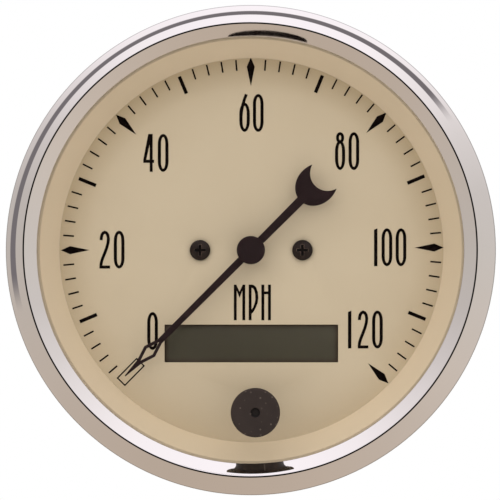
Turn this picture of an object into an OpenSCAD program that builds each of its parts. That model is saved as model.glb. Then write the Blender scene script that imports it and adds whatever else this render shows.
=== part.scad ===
// Dash-mounted speedometer: chrome bezel, lens, dial with display window, air-core movement, case and studs.
// Everything is drawn with the gauge's axis on Z, the front towards +Z and twelve o'clock towards +Y.
// in_place() then stands it up: +Z is up, the dial faces -Y, and the origin is the centre of the panel seat.

/* [Case] */
// Outside diameter of the case cup
case_d = 85.3; // [80:0.1:95]
// Depth of the case behind the panel
case_depth = 50; // [46:0.5:70]
// Sheet thickness of the case
case_wall = 0.9; // [0.7:0.05:1.2]
// Outside radius of the case's rear corner
case_corner_r = 5; // [3:0.25:7]

/* [Bezel] */
// How far the bezel stands out past the case wall
bezel_overhang = 3.85; // [3.6:0.05:5]
// Height of the bezel's crest in front of the panel
bezel_h = 9; // [8.4:0.1:11]
// Sheet thickness of the bezel
bezel_wall = 0.8; // [0.6:0.05:1]
// Radius of the bezel's outer roll
bezel_roll_r = 5.5; // [4.8:0.1:7]
// Width of the outer roll, seen from the front
roll_w = 3.74; // [3.3:0.02:4.2]
// Width of the inner bevel, seen from the front
bevel_w = 2.31; // [2:0.01:2.8]
// Slope of the inner bevel
bevel_angle = 40; // [32:1:43]
// Inside radius of the fold behind the panel seat
hem_fold_r = 0.3; // [0.1:0.05:0.6]
// Clear space between the hem and the case wall
hem_gap = 1.4; // [1:0.05:1.6]

/* [Lens and dial ring] */
// Thickness of the lens
lens_t = 2.2; // [1.6:0.1:2.6]
// Thickness of the gasket's wall round the lens
gasket_wall = 0.8; // [0.5:0.05:1.1]
// Height of the dial ring, from dial to lens
ring_h = 7; // [6:0.1:10]
// Width of the dial ring's foot
ring_foot_w = 4.95; // [4.4:0.05:6]
// Radius of the dial ring's rounded front edge
ring_nose_r = 0.5; // [0.3:0.1:1.4]
// Flat front land of the dial ring, under the lens
ring_land_w = 0.9; // [0.7:0.1:2.2]

/* [Dial] */
// Thickness of the dial plate
dial_t = 0.8; // [0.5:0.1:1.2]
// How far the dial reaches under the dial ring
dial_seat_w = 2.05; // [1.2:0.05:3]
// Diameter of the dial's centre hole
dial_bore_d = 4.4; // [3.6:0.1:5]
// Distance between the two dial screws
dial_screw_pitch = 19.48; // [18.6:0.02:21]
// Thread diameter of the dial screws
dial_screw_d = 2; // [1.6:0.1:2.2]
// Head diameter of the dial screws
dial_screw_head_d = 3.9; // [3.2:0.1:4.6]
// Head height of the dial screws
dial_screw_head_h = 1.3; // [1:0.1:1.6]
// How deep the dial screws reach into the movement
dial_screw_grip = 6; // [4:0.5:6.5]
// Outside diameter of the dial pillars
pillar_d = 4.5; // [3.8:0.1:5]

/* [Display] */
// Width of the display window in the dial
window_w = 33; // [28:0.1:34]
// Height of the display window in the dial
window_h = 7.15; // [6:0.05:7.6]
// Distance of the display's centre below the dial's centre
lcd_drop = 17.75; // [17:0.05:18.2]
// How far the display glass reaches past the window
lcd_margin = 2.2; // [1.6:0.1:2.4]
// Thickness of the display glass
lcd_t = 2.8; // [2:0.1:3.4]
// Wall of the display's frame
lcd_frame_wall = 1.2; // [0.8:0.1:1.4]
// Height of the contact strips between display and board
strip_h = 3; // [2.6:0.1:5]
// Width of the contact strips
strip_w = 1.6; // [1.2:0.1:2.4]
// Space left at each end of the contact strips
strip_end_gap = 1.2; // [0.6:0.1:2]

/* [Circuit board] */
// Thickness of the circuit board
board_t = 1.6; // [1:0.1:2]
// Ring of light left open between the board and the case
board_gap = 5.25; // [3:0.25:6.5]
// Side of the controller chip
chip_w = 10; // [7:0.5:12]
// Thickness of the controller chip
chip_t = 1.6; // [1:0.1:2.4]
// Diameter of the capacitor
capacitor_d = 8; // [6:0.5:9]
// Length of the capacitor
capacitor_l = 11; // [8:0.5:14]
// Width of the regulator
regulator_w = 10; // [8:0.5:10.5]
// Thickness of the regulator
regulator_t = 4.5; // [3.5:0.1:5]
// Length of the regulator
regulator_l = 9; // [7:0.5:12]
// Sideways distance of capacitor and regulator from the axis
power_parts_x = 23; // [21.5:0.25:24]
// Distance of capacitor and regulator below the axis
power_parts_drop = 17; // [14.5:0.25:18]

/* [Pointer] */
// How far the pointer's tip stops short of the dial ring
pointer_tip_gap = 2.65; // [1.5:0.05:5]
// Height of the pointer above the dial
pointer_rise = 3.2; // [2.4:0.1:3.6]
// Thickness of the pointer
pointer_t = 0.5; // [0.3:0.05:0.8]
// How far the tip stands past the lozenge's far corner
spear_l = 2.2; // [1.6:0.1:4]
// Width of the spear where it leaves the lozenge
spear_w = 1.04; // [0.8:0.02:1.4]
// Width of the blunt end of the tip
tip_w = 0.2; // [0.1:0.02:0.4]
// Length of the pierced lozenge
lozenge_l = 8.9; // [7:0.1:10]
// Width of the pierced lozenge
lozenge_w = 2.86; // [2.4:0.02:3.4]
// Width of the struts round the lozenge's opening
lozenge_strut = 0.6; // [0.4:0.01:0.7]
// Width of the stem where it meets the lozenge
stem_tip_w = 1.1; // [0.9:0.02:1.3]
// Width of the stem where it meets the tail
stem_tail_w = 1.66; // [1.4:0.02:1.8]
// Distance of the tail oval's centre from the hub
tail_l = 17.62; // [14:0.02:19]
// Length of the tail's oval, before it is hollowed
tail_oval_l = 8.76; // [7:0.02:10]
// Width of the tail's oval
tail_oval_w = 7.44; // [6:0.02:9]
// Radius of the cut that hollows the oval to a crescent
crescent_cut_r = 3.34; // [2.6:0.01:4]
// Offset of the crescent's cut from the oval's centre
crescent_cut_shift = 3; // [2.5:0.05:3.5]
// Diameter of the pointer's hub
hub_d = 5.38; // [4.6:0.02:6]
// Height of the hub above the pointer
hub_h = 1.4; // [1:0.1:1.8]
// Diameter of the hub's boss through the pointer
hub_boss_d = 2.6; // [2.2:0.1:3]
// Length of the hub's boss below the pointer
hub_boss_l = 1.4; // [0.8:0.1:2]
// Direction of the pointer at zero, anticlockwise from three o'clock
pointer_zero = 225; // [200:1:250]

/* [Movement] */
// Diameter of the pointer's spindle
spindle_d = 1.2; // [1:0.05:1.5]
// Diameter of the spindle's rear pivot
pivot_d = 0.8; // [0.6:0.05:0.9]
// Side of the square bobbin
bobbin_w = 18.1; // [17.4:0.1:19]
// Height of each half of the bobbin
bobbin_half_h = 7.5; // [6.5:0.1:9]
// Diameter of the rotor's chamber
chamber_d = 12.8; // [12:0.1:13.4]
// Height of the rotor's chamber
chamber_h = 5.2; // [4.8:0.1:6]
// Diameter of the rotor magnet
rotor_d = 11.5; // [10:0.1:11.6]
// Height of the rotor magnet
rotor_h = 4; // [3:0.1:4.2]
// Thickness of each coil
coil_t = 1.5; // [1:0.1:1.7]
// Width of each winding on one side of the spindle
coil_w = 4.4; // [3.4:0.1:4.5]
// Diameter of the posts that take the dial screws
post_d = 4.6; // [3.8:0.1:4.8]
// Diameter of the spindle's front bush and of its rear jewel
bearing_d = 3; // [2.4:0.1:3.6]
// Thickness of the rear jewel
jewel_t = 2.4; // [1.8:0.1:2.8]
// Diameter of the coil pins
coil_pin_d = 0.8; // [0.5:0.05:0.9]
// How far the coil pins stand out of the front of the board
coil_pin_proud = 0.8; // [0.4:0.1:1.5]
// How deep the coil pins sit in the bobbin
coil_pin_seat = 3; // [2:0.1:4]
// Sheet thickness of the steel can
can_wall = 0.8; // [0.5:0.05:1.2]
// Diameter of the hole in the back of the can
can_bore_d = 4; // [2:0.5:8]

/* [Trip button] */
// Diameter of the button
button_d = 9.34; // [8:0.02:10]
// Thickness of the button's head
button_t = 4; // [2.5:0.1:5]
// Radius of the button's front edge
button_edge_r = 0.4; // [0.2:0.05:0.6]
// Diameter of the dimple in the button
dimple_d = 1.8; // [1.2:0.1:2.4]
// Depth of the dimple in the button
dimple_depth = 0.6; // [0.2:0.05:0.8]
// Sideways offset of the button from the axis
button_x = 1.1; // [-2:0.1:2]
// Distance of the button's centre from the dial ring
button_inset = 5.75; // [5.4:0.05:6.2]
// Diameter of the button's stem
button_stem_d = 5; // [4:0.1:5.2]
// Diameter of the stem's nose inside the button
button_nose_d = 3.6; // [2.8:0.1:3.8]
// Length of the stem's nose inside the button
button_nose_l = 1; // [0.6:0.1:1.1]
// How far the button travels
button_travel = 1; // [0.5:0.05:1.1]
// Thickness of the grommet's wall and flanges
grommet_wall = 0.6; // [0.5:0.05:0.8]
// How far the grommet's flanges grip the lens
grommet_grip = 0.9; // [0.5:0.05:1]
// How far the stem's collar reaches past the stem
collar_w = 1.1; // [0.8:0.05:1.4]
// Thickness of the stem's collar
collar_t = 1; // [0.8:0.1:1.5]
// Side of the trip switch
switch_w = 6; // [5:0.1:6.2]
// Height of the trip switch
switch_h = 3.5; // [3.2:0.1:4]
// Diameter of the switch's actuator
actuator_d = 3.5; // [2.6:0.1:4]
// Length of the actuator that stands out of the switch
actuator_proud = 1.3; // [1.2:0.05:1.4]
// Length of the actuator inside the switch
actuator_seat = 0.8; // [0.5:0.1:1.2]

/* [Studs] */
// Distance between the two mounting studs
stud_pitch = 44.45; // [40:0.05:48]
// Thread diameter of the studs' free ends
stud_d = 4.17; // [3.8:0.01:4.3]
// Thread diameter of the studs where the case nuts hold them
stud_seat_d = 5; // [4.8:0.1:6]
// How far the studs stand out behind the case
stud_reach = 20; // [14:0.5:28]
// Width across flats of the studs' hexagonal pillars
stud_hex = 7; // [6.5:0.1:9]
// Width across flats of the case nuts
nut_hex = 8; // [7.5:0.1:10]
// Thickness of the case nuts
nut_t = 3.5; // [2.5:0.1:5]
// Outside diameter of the washers
washer_d = 10; // [9:0.1:12]
// Thickness of the washers
washer_t = 0.8; // [0.5:0.1:1.2]
// Thread that shows past the case nuts
nut_show = 0.8; // [0.4:0.1:2]
// Thread diameter of the board screws
board_screw_d = 3; // [2.5:0.1:3.4]
// Head diameter of the board screws
board_screw_head_d = 5.6; // [4.8:0.1:6.4]
// Head height of the board screws
board_screw_head_h = 1.9; // [1.4:0.1:2.4]
// How deep the board screws reach into the studs
board_screw_grip = 7; // [4:0.5:12]

/* [Terminals] */
// Distance of the terminal row below the axis
terminal_drop = 24; // [22:0.25:25]
// Distance between neighbouring blades
blade_pitch = 8; // [7:0.1:8.5]
// Width of the blades
blade_w = 6.35; // [4.8:0.05:6.4]
// Thickness of the blades
blade_t = 0.8; // [0.5:0.05:1]
// How far the blades stand out of the block
blade_reach = 8.5; // [6:0.1:12]
// Chamfer at the blades' tips
blade_chamfer = 1.2; // [0.5:0.1:2]
// Diameter of the detent hole in each blade
blade_hole_d = 1.8; // [1:0.1:2.2]
// Thickness of the block outside the case
block_t = 3; // [2:0.1:5]
// How far the block reaches into the case
block_inner_t = 2; // [1.2:0.1:4]
// Plastic left round the blades
block_margin = 1.4; // [1:0.1:1.6]
// Width of the block's rivet ears
block_ear_w = 6; // [5.4:0.1:6.5]
// Diameter of the rivets
rivet_d = 3; // [2:0.1:3.2]
// Diameter of the rivets' heads
rivet_head_d = 5; // [4:0.1:5.2]
// Height of the rivets' heads
rivet_head_h = 0.8; // [0.5:0.1:1.2]

/* [Lamp] */
// Distance of the lamp above the axis
lamp_rise = 24; // [22:0.25:25]
// Diameter of the socket's hole in the case
lamp_hole_d = 12.7; // [11.5:0.1:13.5]
// How far the socket's lugs reach past the hole
lug_reach = 1.6; // [1:0.1:1.8]
// Width of the socket's lugs
lug_w = 3.6; // [2.5:0.1:4]
// Thickness of the socket's lugs
lug_t = 1.2; // [0.8:0.1:2]
// How far the socket's flange covers the lug notches
socket_flange_w = 0.6; // [0.4:0.1:1]
// Thickness of the socket's flange
socket_flange_t = 1.6; // [1:0.1:3]
// Length of the socket's grip behind its flange
socket_grip_l = 9; // [8.5:0.5:14]
// Length of the socket's barrel inside the case
socket_barrel_l = 6; // [3:0.5:8]
// Thickness of the socket's turning wing
wing_t = 3; // [2:0.1:4]
// Diameter of the bulb
bulb_d = 10; // [8:0.1:10.4]
// Length of the bulb in front of its socket
bulb_l = 20; // [14:0.5:22]
// Width of the bulb's wedge base
wedge_w = 8; // [6:0.1:8.4]
// Thickness of the bulb's wedge base
wedge_t = 2.6; // [1.8:0.1:3]
// Length of the bulb's wedge base
wedge_l = 7; // [5:0.1:7.5]

/* [Clearances] */
// Clearance of turning and sliding pieces, at each side
run_fit = 0.05; // [0.02:0.01:0.1]
// Clearance of pressed and threaded pieces, at each side
press_fit = 0.02; // [0.01:0.01:0.04]
// Clearance of pieces that drop in, at each side
drop_fit = 0.1; // [0.05:0.01:0.2]
// Clearance of pieces that must never touch, at each side
free_gap = 0.3; // [0.2:0.05:0.4]

/* [Hidden] */
$fn = 96;
// Overlap of a cutting body past the face that it cuts
eps = 0.5;
// How far the bezel's crest stands above its roll
crest_proud = 0.05;
// Steps of the dial ring's rounded front edge
ring_nose_steps = 8;
// Steps round the oval of the pointer's tail
tail_steps = 72;
// Cross recess of the pan heads, as shares of head diameter and height
recess_w_share = 0.14;
recess_l_share = 0.55;
recess_depth_share = 0.6;

// Radii of case and bezel. The roll is an arc that starts at the crest and ends upright at the bezel's edge
case_r = case_d / 2;
case_in_r = case_r - case_wall;
bezel_r = case_r + bezel_overhang;
hem_r = case_r + hem_gap;
hem_bend_r = bezel_wall + hem_fold_r;
crest_r = bezel_r - roll_w;
lip_r = crest_r - bevel_w;
roll_x = bezel_r - bezel_roll_r;
roll_in_r = bezel_roll_r - bezel_wall;

// Heights along the axis, from the bezel backwards
roll_z = bezel_h - crest_proud - sqrt(pow(bezel_roll_r, 2) - pow(crest_r - roll_x, 2));
lip_z = bezel_h - bevel_w * tan(bevel_angle);
lip_under_z = lip_z - bezel_wall / cos(bevel_angle);
lens_z = lip_under_z - run_fit;
lens_back_z = lens_z - lens_t;
flange_front_z = bezel_wall + case_wall;
dial_z = lens_back_z - ring_h;
dial_back_z = dial_z - dial_t;
board_z = dial_back_z - lcd_t - strip_h;
board_back_z = board_z - board_t;
case_back_z = -case_depth;
case_floor_z = case_back_z + case_wall;
pointer_z = dial_z + pointer_rise;
hub_base_z = pointer_z + pointer_t;
gasket_top_z = lens_back_z + lens_t / 2;

// Radii of gasket, lens, ring, dial and board. The gasket clears the inside of the roll at its own top
gasket_r = roll_x + sqrt(pow(roll_in_r, 2) - pow(max(0, gasket_top_z - roll_z), 2)) - drop_fit;
flange_r = gasket_r - drop_fit;
lens_r = gasket_r - gasket_wall - drop_fit;
ring_r = case_in_r - free_gap;
view_r = ring_r - ring_foot_w;
dial_r = view_r + dial_seat_w;
board_r = case_in_r - board_gap;
pointer_r = view_r - pointer_tip_gap;

// Movement
bobbin_z = board_back_z - 2 * coil_t - 2 * free_gap;
split_z = bobbin_z - bobbin_half_h;
bobbin_back_z = split_z - bobbin_half_h;
chamber_half_h = chamber_h / 2;
coil_c = post_d / 2 + free_gap + coil_w / 2;
can_in_r = bobbin_w * sqrt(2) / 2 + drop_fit;
can_z = board_back_z - free_gap;
can_floor_z = bobbin_back_z - 2 * coil_t - free_gap;
jewel_z = split_z - chamber_half_h;
coil_pin_c = (bobbin_w / 2 + coil_c + coil_w / 2) / 2;
spindle_top_z = hub_base_z + hub_h / 2;
pivot_l = jewel_t / 2;
pivot_hole_l = pivot_l + free_gap;
screw_x = dial_screw_pitch / 2;

// Pointer: far corner of the lozenge, and its width for each step of length
lozenge_end = pointer_r - spear_l;
lozenge_slope = lozenge_w / lozenge_l;

// Trip button
button_y = button_inset - view_r;
stem_r = button_stem_d / 2;
grommet_bore_r = stem_r + run_fit;
lens_hole_r = grommet_bore_r + grommet_wall + press_fit;
grommet_flange_r = lens_hole_r + grommet_grip;
button_z = lens_z + grommet_wall + button_travel + free_gap;
collar_z = lens_back_z - grommet_wall - run_fit;
actuator_z = board_z + switch_h + actuator_proud;

// Studs
stud_x = stud_pitch / 2;
stud_seat_z = case_back_z - washer_t - nut_t - nut_show;

// Terminals
block_w = 3 * blade_pitch + blade_t + 2 * block_margin;
block_h = blade_w + 2 * block_margin;
block_z = case_back_z - block_t;
blade_tip_z = block_z - blade_reach;
rivet_x = block_w / 2 + block_ear_w / 2;

// Lamp
lug_r = lamp_hole_d / 2 + lug_reach;
notch_r = lug_r + free_gap;
socket_flange_r = notch_r + socket_flange_w;
socket_z = case_back_z - run_fit;
barrel_r = lamp_hole_d / 2 - drop_fit;
barrel_z = case_floor_z + socket_barrel_l;

// Stands the gauge up, with its dial facing -Y
module in_place() {
    rotate([90, 0, 0]) children();
}

// Children at both dial screws
module at_dial_screws() {
    for (side = [-1, 1]) translate([side * screw_x, 0, 0]) children();
}

// Children at both mounting studs
module at_studs() {
    for (side = [-1, 1]) translate([side * stud_x, 0, 0]) children();
}

// Children at the four coil pins
module at_coil_pins() {
    for (sx = [-1, 1], sy = [-1, 1]) translate([sx * coil_pin_c, sy * coil_pin_c, 0]) children();
}

// Children at the four terminal blades
module at_blades() {
    for (i = [-1.5 : 1.5]) translate([i * blade_pitch, -terminal_drop, 0]) children();
}

// Children at both rivets of the terminal block
module at_rivets() {
    for (side = [-1, 1]) translate([side * rivet_x, -terminal_drop, 0]) children();
}

// Children at the trip button's axis
module at_button() {
    translate([button_x, button_y, 0]) children();
}

// Children at the lamp's axis
module at_lamp() {
    translate([0, lamp_rise, 0]) children();
}

// A cylinder between two heights
module rod(r, z0, z1) {
    translate([0, 0, z0]) cylinder(r = r, h = z1 - z0);
}

// A bar between two heights, centred on the axis
module bar(w, h, z0, z1) {
    translate([-w / 2, -h / 2, z0]) cube([w, h, z1 - z0]);
}

// A hexagonal prism between two heights, from its width across flats
module hex_rod(flats, z0, z1) {
    translate([0, 0, z0]) cylinder(r = flats / 2 / cos(30), h = z1 - z0, $fn = 6);
}

// A rectangle with round corners, centred
module round_rect(w, h, r) {
    square([w - 2 * r, h], center = true);
    square([w, h - 2 * r], center = true);
    for (sx = [-1, 1], sy = [-1, 1]) translate([sx * (w / 2 - r), sy * (h / 2 - r)]) circle(r);
}

// A quarter of a circular band: centre, outer radius, thickness, and the quadrant's signs
module quarter_band(centre, r, t, sx, sy) {
    translate(centre) intersection() {
        difference() {
            circle(r);
            circle(r - t);
        }
        translate([sx < 0 ? -r : 0, sy < 0 ? -r : 0]) square(r);
    }
}

module bezel_ring() color("gainsboro") in_place() rotate_extrude() {
    intersection() {
        quarter_band([roll_x, roll_z], bezel_roll_r, bezel_wall, 1, 1);
        translate([crest_r, roll_z]) square(bezel_roll_r);
    }
    polygon([
        [crest_r, bezel_h], [lip_r, lip_z], [lip_r, lip_under_z],
        [crest_r + bezel_wall * sin(bevel_angle), bezel_h - bezel_wall * cos(bevel_angle)]
    ]);
    translate([bezel_r - bezel_wall, hem_bend_r]) square([bezel_wall, roll_z - hem_bend_r]);
    quarter_band([bezel_r - hem_bend_r, hem_bend_r], hem_bend_r, bezel_wall, 1, -1);
    translate([hem_r, 0]) square([bezel_r - hem_bend_r - hem_r, bezel_wall]);
}

// Half section of the case: flange, rounded mouth, barrel, rear corner and rear wall
module case_profile() {
    translate([case_r, bezel_wall]) square([flange_r - case_r, case_wall]);
    quarter_band([case_r, bezel_wall], case_wall, case_wall, -1, 1);
    translate([case_in_r, case_back_z + case_corner_r])
        square([case_wall, case_depth - case_corner_r + bezel_wall]);
    quarter_band([case_r - case_corner_r, case_back_z + case_corner_r], case_corner_r, case_wall, 1, -1);
    translate([0, case_back_z]) square([case_r - case_corner_r, case_wall]);
}

module case_cup() color("dimgray") in_place() difference() {
    rotate_extrude() case_profile();
    at_studs() rod(stud_seat_d / 2 + drop_fit, case_back_z - eps, case_floor_z + eps);
    at_rivets() rod(rivet_d / 2 + drop_fit, case_back_z - eps, case_floor_z + eps);
    translate([0, -terminal_drop, 0])
        bar(block_w + 2 * drop_fit, block_h + 2 * drop_fit, case_back_z - eps, case_floor_z + eps);
    at_lamp() {
        rod(lamp_hole_d / 2, case_back_z - eps, case_floor_z + eps);
        intersection() {
            rod(notch_r, case_back_z - eps, case_floor_z + eps);
            bar(2 * notch_r, lug_w + 2 * free_gap, case_back_z - eps, case_floor_z + eps);
        }
    }
}

module lens_gasket() color("black") in_place() rotate_extrude()
    polygon([
        [case_r, flange_front_z], [gasket_r, flange_front_z], [gasket_r, gasket_top_z],
        [gasket_r - gasket_wall, gasket_top_z], [gasket_r - gasket_wall, lens_back_z], [case_r, lens_back_z]
    ]);

module lens() color("azure", 0.3) in_place() difference() {
    rod(lens_r, lens_back_z, lens_z);
    at_button() rod(lens_hole_r, lens_back_z - eps, lens_z + eps);
}

module button_grommet() color("black") in_place() at_button() difference() {
    union() {
        rod(lens_hole_r - press_fit, lens_back_z, lens_z);
        rod(grommet_flange_r, lens_z, lens_z + grommet_wall);
        rod(grommet_flange_r, lens_back_z - grommet_wall, lens_back_z);
    }
    rod(grommet_bore_r, lens_back_z - grommet_wall - eps, lens_z + grommet_wall + eps);
}

// The funnel's slope is the tangent from its foot to its rounded front edge
module dial_ring() color("tan") in_place() rotate_extrude() {
    foot = [view_r, dial_z];
    nose = [ring_r - ring_land_w, lens_back_z - ring_nose_r];
    slope = atan2(nose[1] - foot[1], nose[0] - foot[0]) + asin(ring_nose_r / norm(nose - foot));
    turn = slope / ring_nose_steps;
    edge = [for (i = [0 : ring_nose_steps]) nose + ring_nose_r * [cos(90 + i * turn), sin(90 + i * turn)]];
    polygon(concat([foot, [ring_r, dial_z], [ring_r, lens_back_z]], edge));
}

module dial_plate() color("tan") in_place() difference() {
    rod(dial_r, dial_back_z, dial_z);
    rod(dial_bore_d / 2, dial_back_z - eps, dial_z + eps);
    at_dial_screws() rod(dial_screw_d / 2 + drop_fit, dial_back_z - eps, dial_z + eps);
    at_button() rod(stem_r + free_gap, dial_back_z - eps, dial_z + eps);
    translate([0, -lcd_drop, 0]) bar(window_w, window_h, dial_back_z - eps, dial_z + eps);
}

// Pan head with a rounded crown, a cross recess and a plain shank
module pan_screw(thread_d, head_d, head_h, seat_z, end_z) {
    crown_r = (pow(head_d / 2, 2) + pow(head_h / 2, 2)) / head_h;
    recess_z = seat_z + head_h * (1 - recess_depth_share);
    difference() {
        union() {
            rod(head_d / 2, seat_z, seat_z + head_h / 2);
            intersection() {
                rod(head_d / 2, seat_z, seat_z + head_h);
                translate([0, 0, seat_z + head_h - crown_r]) sphere(crown_r);
            }
        }
        for (turn = [0, 90]) rotate([0, 0, turn])
            bar(head_d * recess_l_share, head_d * recess_w_share, recess_z, seat_z + head_h + eps);
    }
    rod(thread_d / 2, end_z, (seat_z + recess_z) / 2);
}

module dial_screws() color("black") in_place() at_dial_screws()
    pan_screw(dial_screw_d, dial_screw_head_d, dial_screw_head_h, dial_z, board_back_z - dial_screw_grip);

module dial_pillars() color("silver") in_place() at_dial_screws() difference() {
    rod(pillar_d / 2, board_z, dial_back_z);
    rod(dial_screw_d / 2 + drop_fit, board_z - eps, dial_back_z + eps);
}

module lcd_glass() color("darkslategray") in_place() translate([0, -lcd_drop, 0])
    bar(window_w + 2 * lcd_margin, window_h + 2 * lcd_margin, dial_back_z - lcd_t, dial_back_z);

module lcd_frame() color("black") in_place() translate([0, -lcd_drop, 0]) difference() {
    inner_w = window_w + 2 * lcd_margin + 2 * drop_fit;
    inner_h = window_h + 2 * lcd_margin + 2 * drop_fit;
    bar(inner_w + 2 * lcd_frame_wall, inner_h + 2 * lcd_frame_wall, board_z, dial_back_z);
    bar(inner_w, inner_h, board_z - eps, dial_back_z + eps);
}

module lcd_contact_strips() color("pink") in_place() translate([0, -lcd_drop, 0]) {
    strip_y = window_h / 2 + lcd_margin - strip_w / 2;
    strip_l = window_w + 2 * lcd_margin - 2 * strip_end_gap;
    for (side = [-1, 1]) translate([0, side * strip_y, 0]) bar(strip_l, strip_w, board_z, dial_back_z - lcd_t);
}

module circuit_board() color("darkgreen") in_place() difference() {
    rod(board_r, board_back_z, board_z);
    rod(spindle_d / 2 + 2 * free_gap, board_back_z - eps, board_z + eps);
    at_dial_screws() rod(dial_screw_d / 2 + drop_fit, board_back_z - eps, board_z + eps);
    at_studs() rod(board_screw_d / 2 + drop_fit, board_back_z - eps, board_z + eps);
    at_coil_pins() rod(coil_pin_d / 2 + drop_fit, board_back_z - eps, board_z + eps);
}

module board_parts() color("darkslategray") in_place() {
    at_lamp() bar(chip_w, chip_w, board_back_z - chip_t, board_back_z);
    translate([power_parts_x, -power_parts_drop, 0]) rod(capacitor_d / 2, board_back_z - capacitor_l, board_back_z);
    translate([-power_parts_x, -power_parts_drop, 0])
        bar(regulator_t, regulator_w, board_back_z - regulator_l, board_back_z);
}

module trip_switch() color("darkslategray") in_place() at_button() difference() {
    bar(switch_w, switch_w, board_z, board_z + switch_h);
    rod(actuator_d / 2 + run_fit, board_z + switch_h - actuator_seat - button_travel - free_gap,
        board_z + switch_h + eps);
}

module bobbin_front() color("ivory") in_place() difference() {
    union() {
        bar(bobbin_w, bobbin_w, split_z, bobbin_z);
        at_dial_screws() rod(post_d / 2, split_z, board_back_z);
    }
    rod(chamber_d / 2, split_z - eps, split_z + chamber_half_h);
    rod(bearing_d / 2, split_z, bobbin_z + eps);
    at_dial_screws() rod(dial_screw_d / 2 + press_fit, board_back_z - dial_screw_grip - free_gap, board_back_z + eps);
    at_coil_pins() rod(coil_pin_d / 2 + press_fit, bobbin_z - coil_pin_seat, bobbin_z + eps);
}

module bobbin_rear() color("ivory") in_place() difference() {
    bar(bobbin_w, bobbin_w, bobbin_back_z, split_z);
    rod(chamber_d / 2, jewel_z, split_z + eps);
    rod(bearing_d / 2, jewel_z - jewel_t, jewel_z + eps);
}

// One crossed coil: two flat rectangular windings, one on each side of the spindle
module crossed_coil(front_z, back_z) {
    length = front_z - back_z;
    for (side = [-1, 1]) translate([side * coil_c - coil_w / 2, 0, (front_z + back_z) / 2])
        rotate([90, 0, 90]) linear_extrude(coil_w) difference() {
            round_rect(bobbin_w + 2 * coil_t, length + 2 * coil_t, coil_t);
            square([bobbin_w, length], center = true);
        }
}

module coil_inner() color("peru") in_place() crossed_coil(bobbin_z, bobbin_back_z);

module coil_outer() color("peru") in_place() rotate([0, 0, 90])
    crossed_coil(bobbin_z + coil_t, bobbin_back_z - coil_t);

module coil_pins() color("goldenrod") in_place() at_coil_pins()
    rod(coil_pin_d / 2, bobbin_z - coil_pin_seat, board_z + coil_pin_proud);

module flux_can() color("silver") in_place() difference() {
    rod(can_in_r + can_wall, can_floor_z - can_wall, can_z);
    rod(can_in_r, can_floor_z, can_z + eps);
    rod(can_bore_d / 2, can_floor_z - can_wall - eps, can_floor_z + eps);
}

module spindle_bush() color("goldenrod") in_place() difference() {
    rod(bearing_d / 2 - press_fit, split_z + chamber_half_h, bobbin_z);
    rod(spindle_d / 2 + run_fit, split_z + chamber_half_h - eps, bobbin_z + eps);
}

module pivot_jewel() color("crimson") in_place() difference() {
    rod(bearing_d / 2 - press_fit, jewel_z - jewel_t, jewel_z);
    rod(pivot_d / 2 + run_fit, jewel_z - pivot_hole_l, jewel_z + eps);
}

module mounting_studs() color("silver") in_place() at_studs() {
    difference() {
        hex_rod(stud_hex, case_floor_z, board_back_z);
        rod(board_screw_d / 2 + press_fit, board_back_z - board_screw_grip - free_gap, board_back_z + eps);
    }
    rod(stud_seat_d / 2, stud_seat_z, case_floor_z + eps);
    rod(stud_d / 2, case_back_z - stud_reach, stud_seat_z + eps);
}

module board_screws() color("silver") in_place() at_studs()
    pan_screw(board_screw_d, board_screw_head_d, board_screw_head_h, board_z, board_back_z - board_screw_grip);

module stud_washers() color("silver") in_place() at_studs() difference() {
    rod(washer_d / 2, case_back_z - washer_t, case_back_z);
    rod(stud_seat_d / 2 + drop_fit, case_back_z - washer_t - eps, case_back_z + eps);
}

module stud_nuts() color("silver") in_place() at_studs() difference() {
    hex_rod(nut_hex, case_back_z - washer_t - nut_t, case_back_z - washer_t);
    rod(stud_seat_d / 2 + press_fit, case_back_z - washer_t - nut_t - eps, case_back_z - washer_t + eps);
}

module terminal_block() color("black") in_place() difference() {
    translate([0, -terminal_drop, 0]) {
        bar(block_w + 2 * block_ear_w, block_h, block_z, case_back_z);
        bar(block_w, block_h, block_z + eps, case_floor_z + block_inner_t);
    }
    at_blades() bar(blade_t + 2 * press_fit, blade_w + 2 * press_fit, block_z - eps, case_floor_z + block_inner_t + eps);
    at_rivets() rod(rivet_d / 2 + drop_fit, block_z - eps, case_back_z + eps);
}

module terminal_blades() color("goldenrod") in_place() at_blades() translate([-blade_t / 2, 0, 0])
    rotate([90, 0, 90]) linear_extrude(blade_t) difference() {
        polygon([
            [-blade_w / 2, board_back_z], [-blade_w / 2, blade_tip_z + blade_chamfer],
            [-blade_w / 2 + blade_chamfer, blade_tip_z], [blade_w / 2 - blade_chamfer, blade_tip_z],
            [blade_w / 2, blade_tip_z + blade_chamfer], [blade_w / 2, board_back_z]
        ]);
        translate([0, blade_tip_z + blade_reach / 2]) circle(blade_hole_d / 2);
    }

module terminal_rivets() color("silver") in_place() at_rivets() {
    rod(rivet_head_d / 2, block_z - rivet_head_h, block_z);
    rod(rivet_d / 2, block_z - rivet_head_h / 2, case_floor_z + rivet_head_h / 2);
    rod(rivet_head_d / 2, case_floor_z, case_floor_z + rivet_head_h);
}

// Twist-in socket: flange and grip outside the case, barrel and two lugs inside it
module lamp_socket() color("black") in_place() at_lamp() difference() {
    grip_z = socket_z - socket_flange_t - socket_grip_l;
    union() {
        rod(socket_flange_r, socket_z - socket_flange_t, socket_z);
        rod(barrel_r, grip_z, barrel_z);
        bar(wing_t, 2 * socket_flange_r, grip_z, socket_z - socket_flange_t);
        intersection() {
            rod(lug_r, case_floor_z + run_fit, case_floor_z + run_fit + lug_t);
            bar(lug_w, 2 * lug_r, case_floor_z + run_fit, case_floor_z + run_fit + lug_t);
        }
    }
    bar(wedge_w + 2 * drop_fit, wedge_t + 2 * drop_fit, barrel_z - wedge_l - drop_fit, barrel_z + eps);
}

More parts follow.
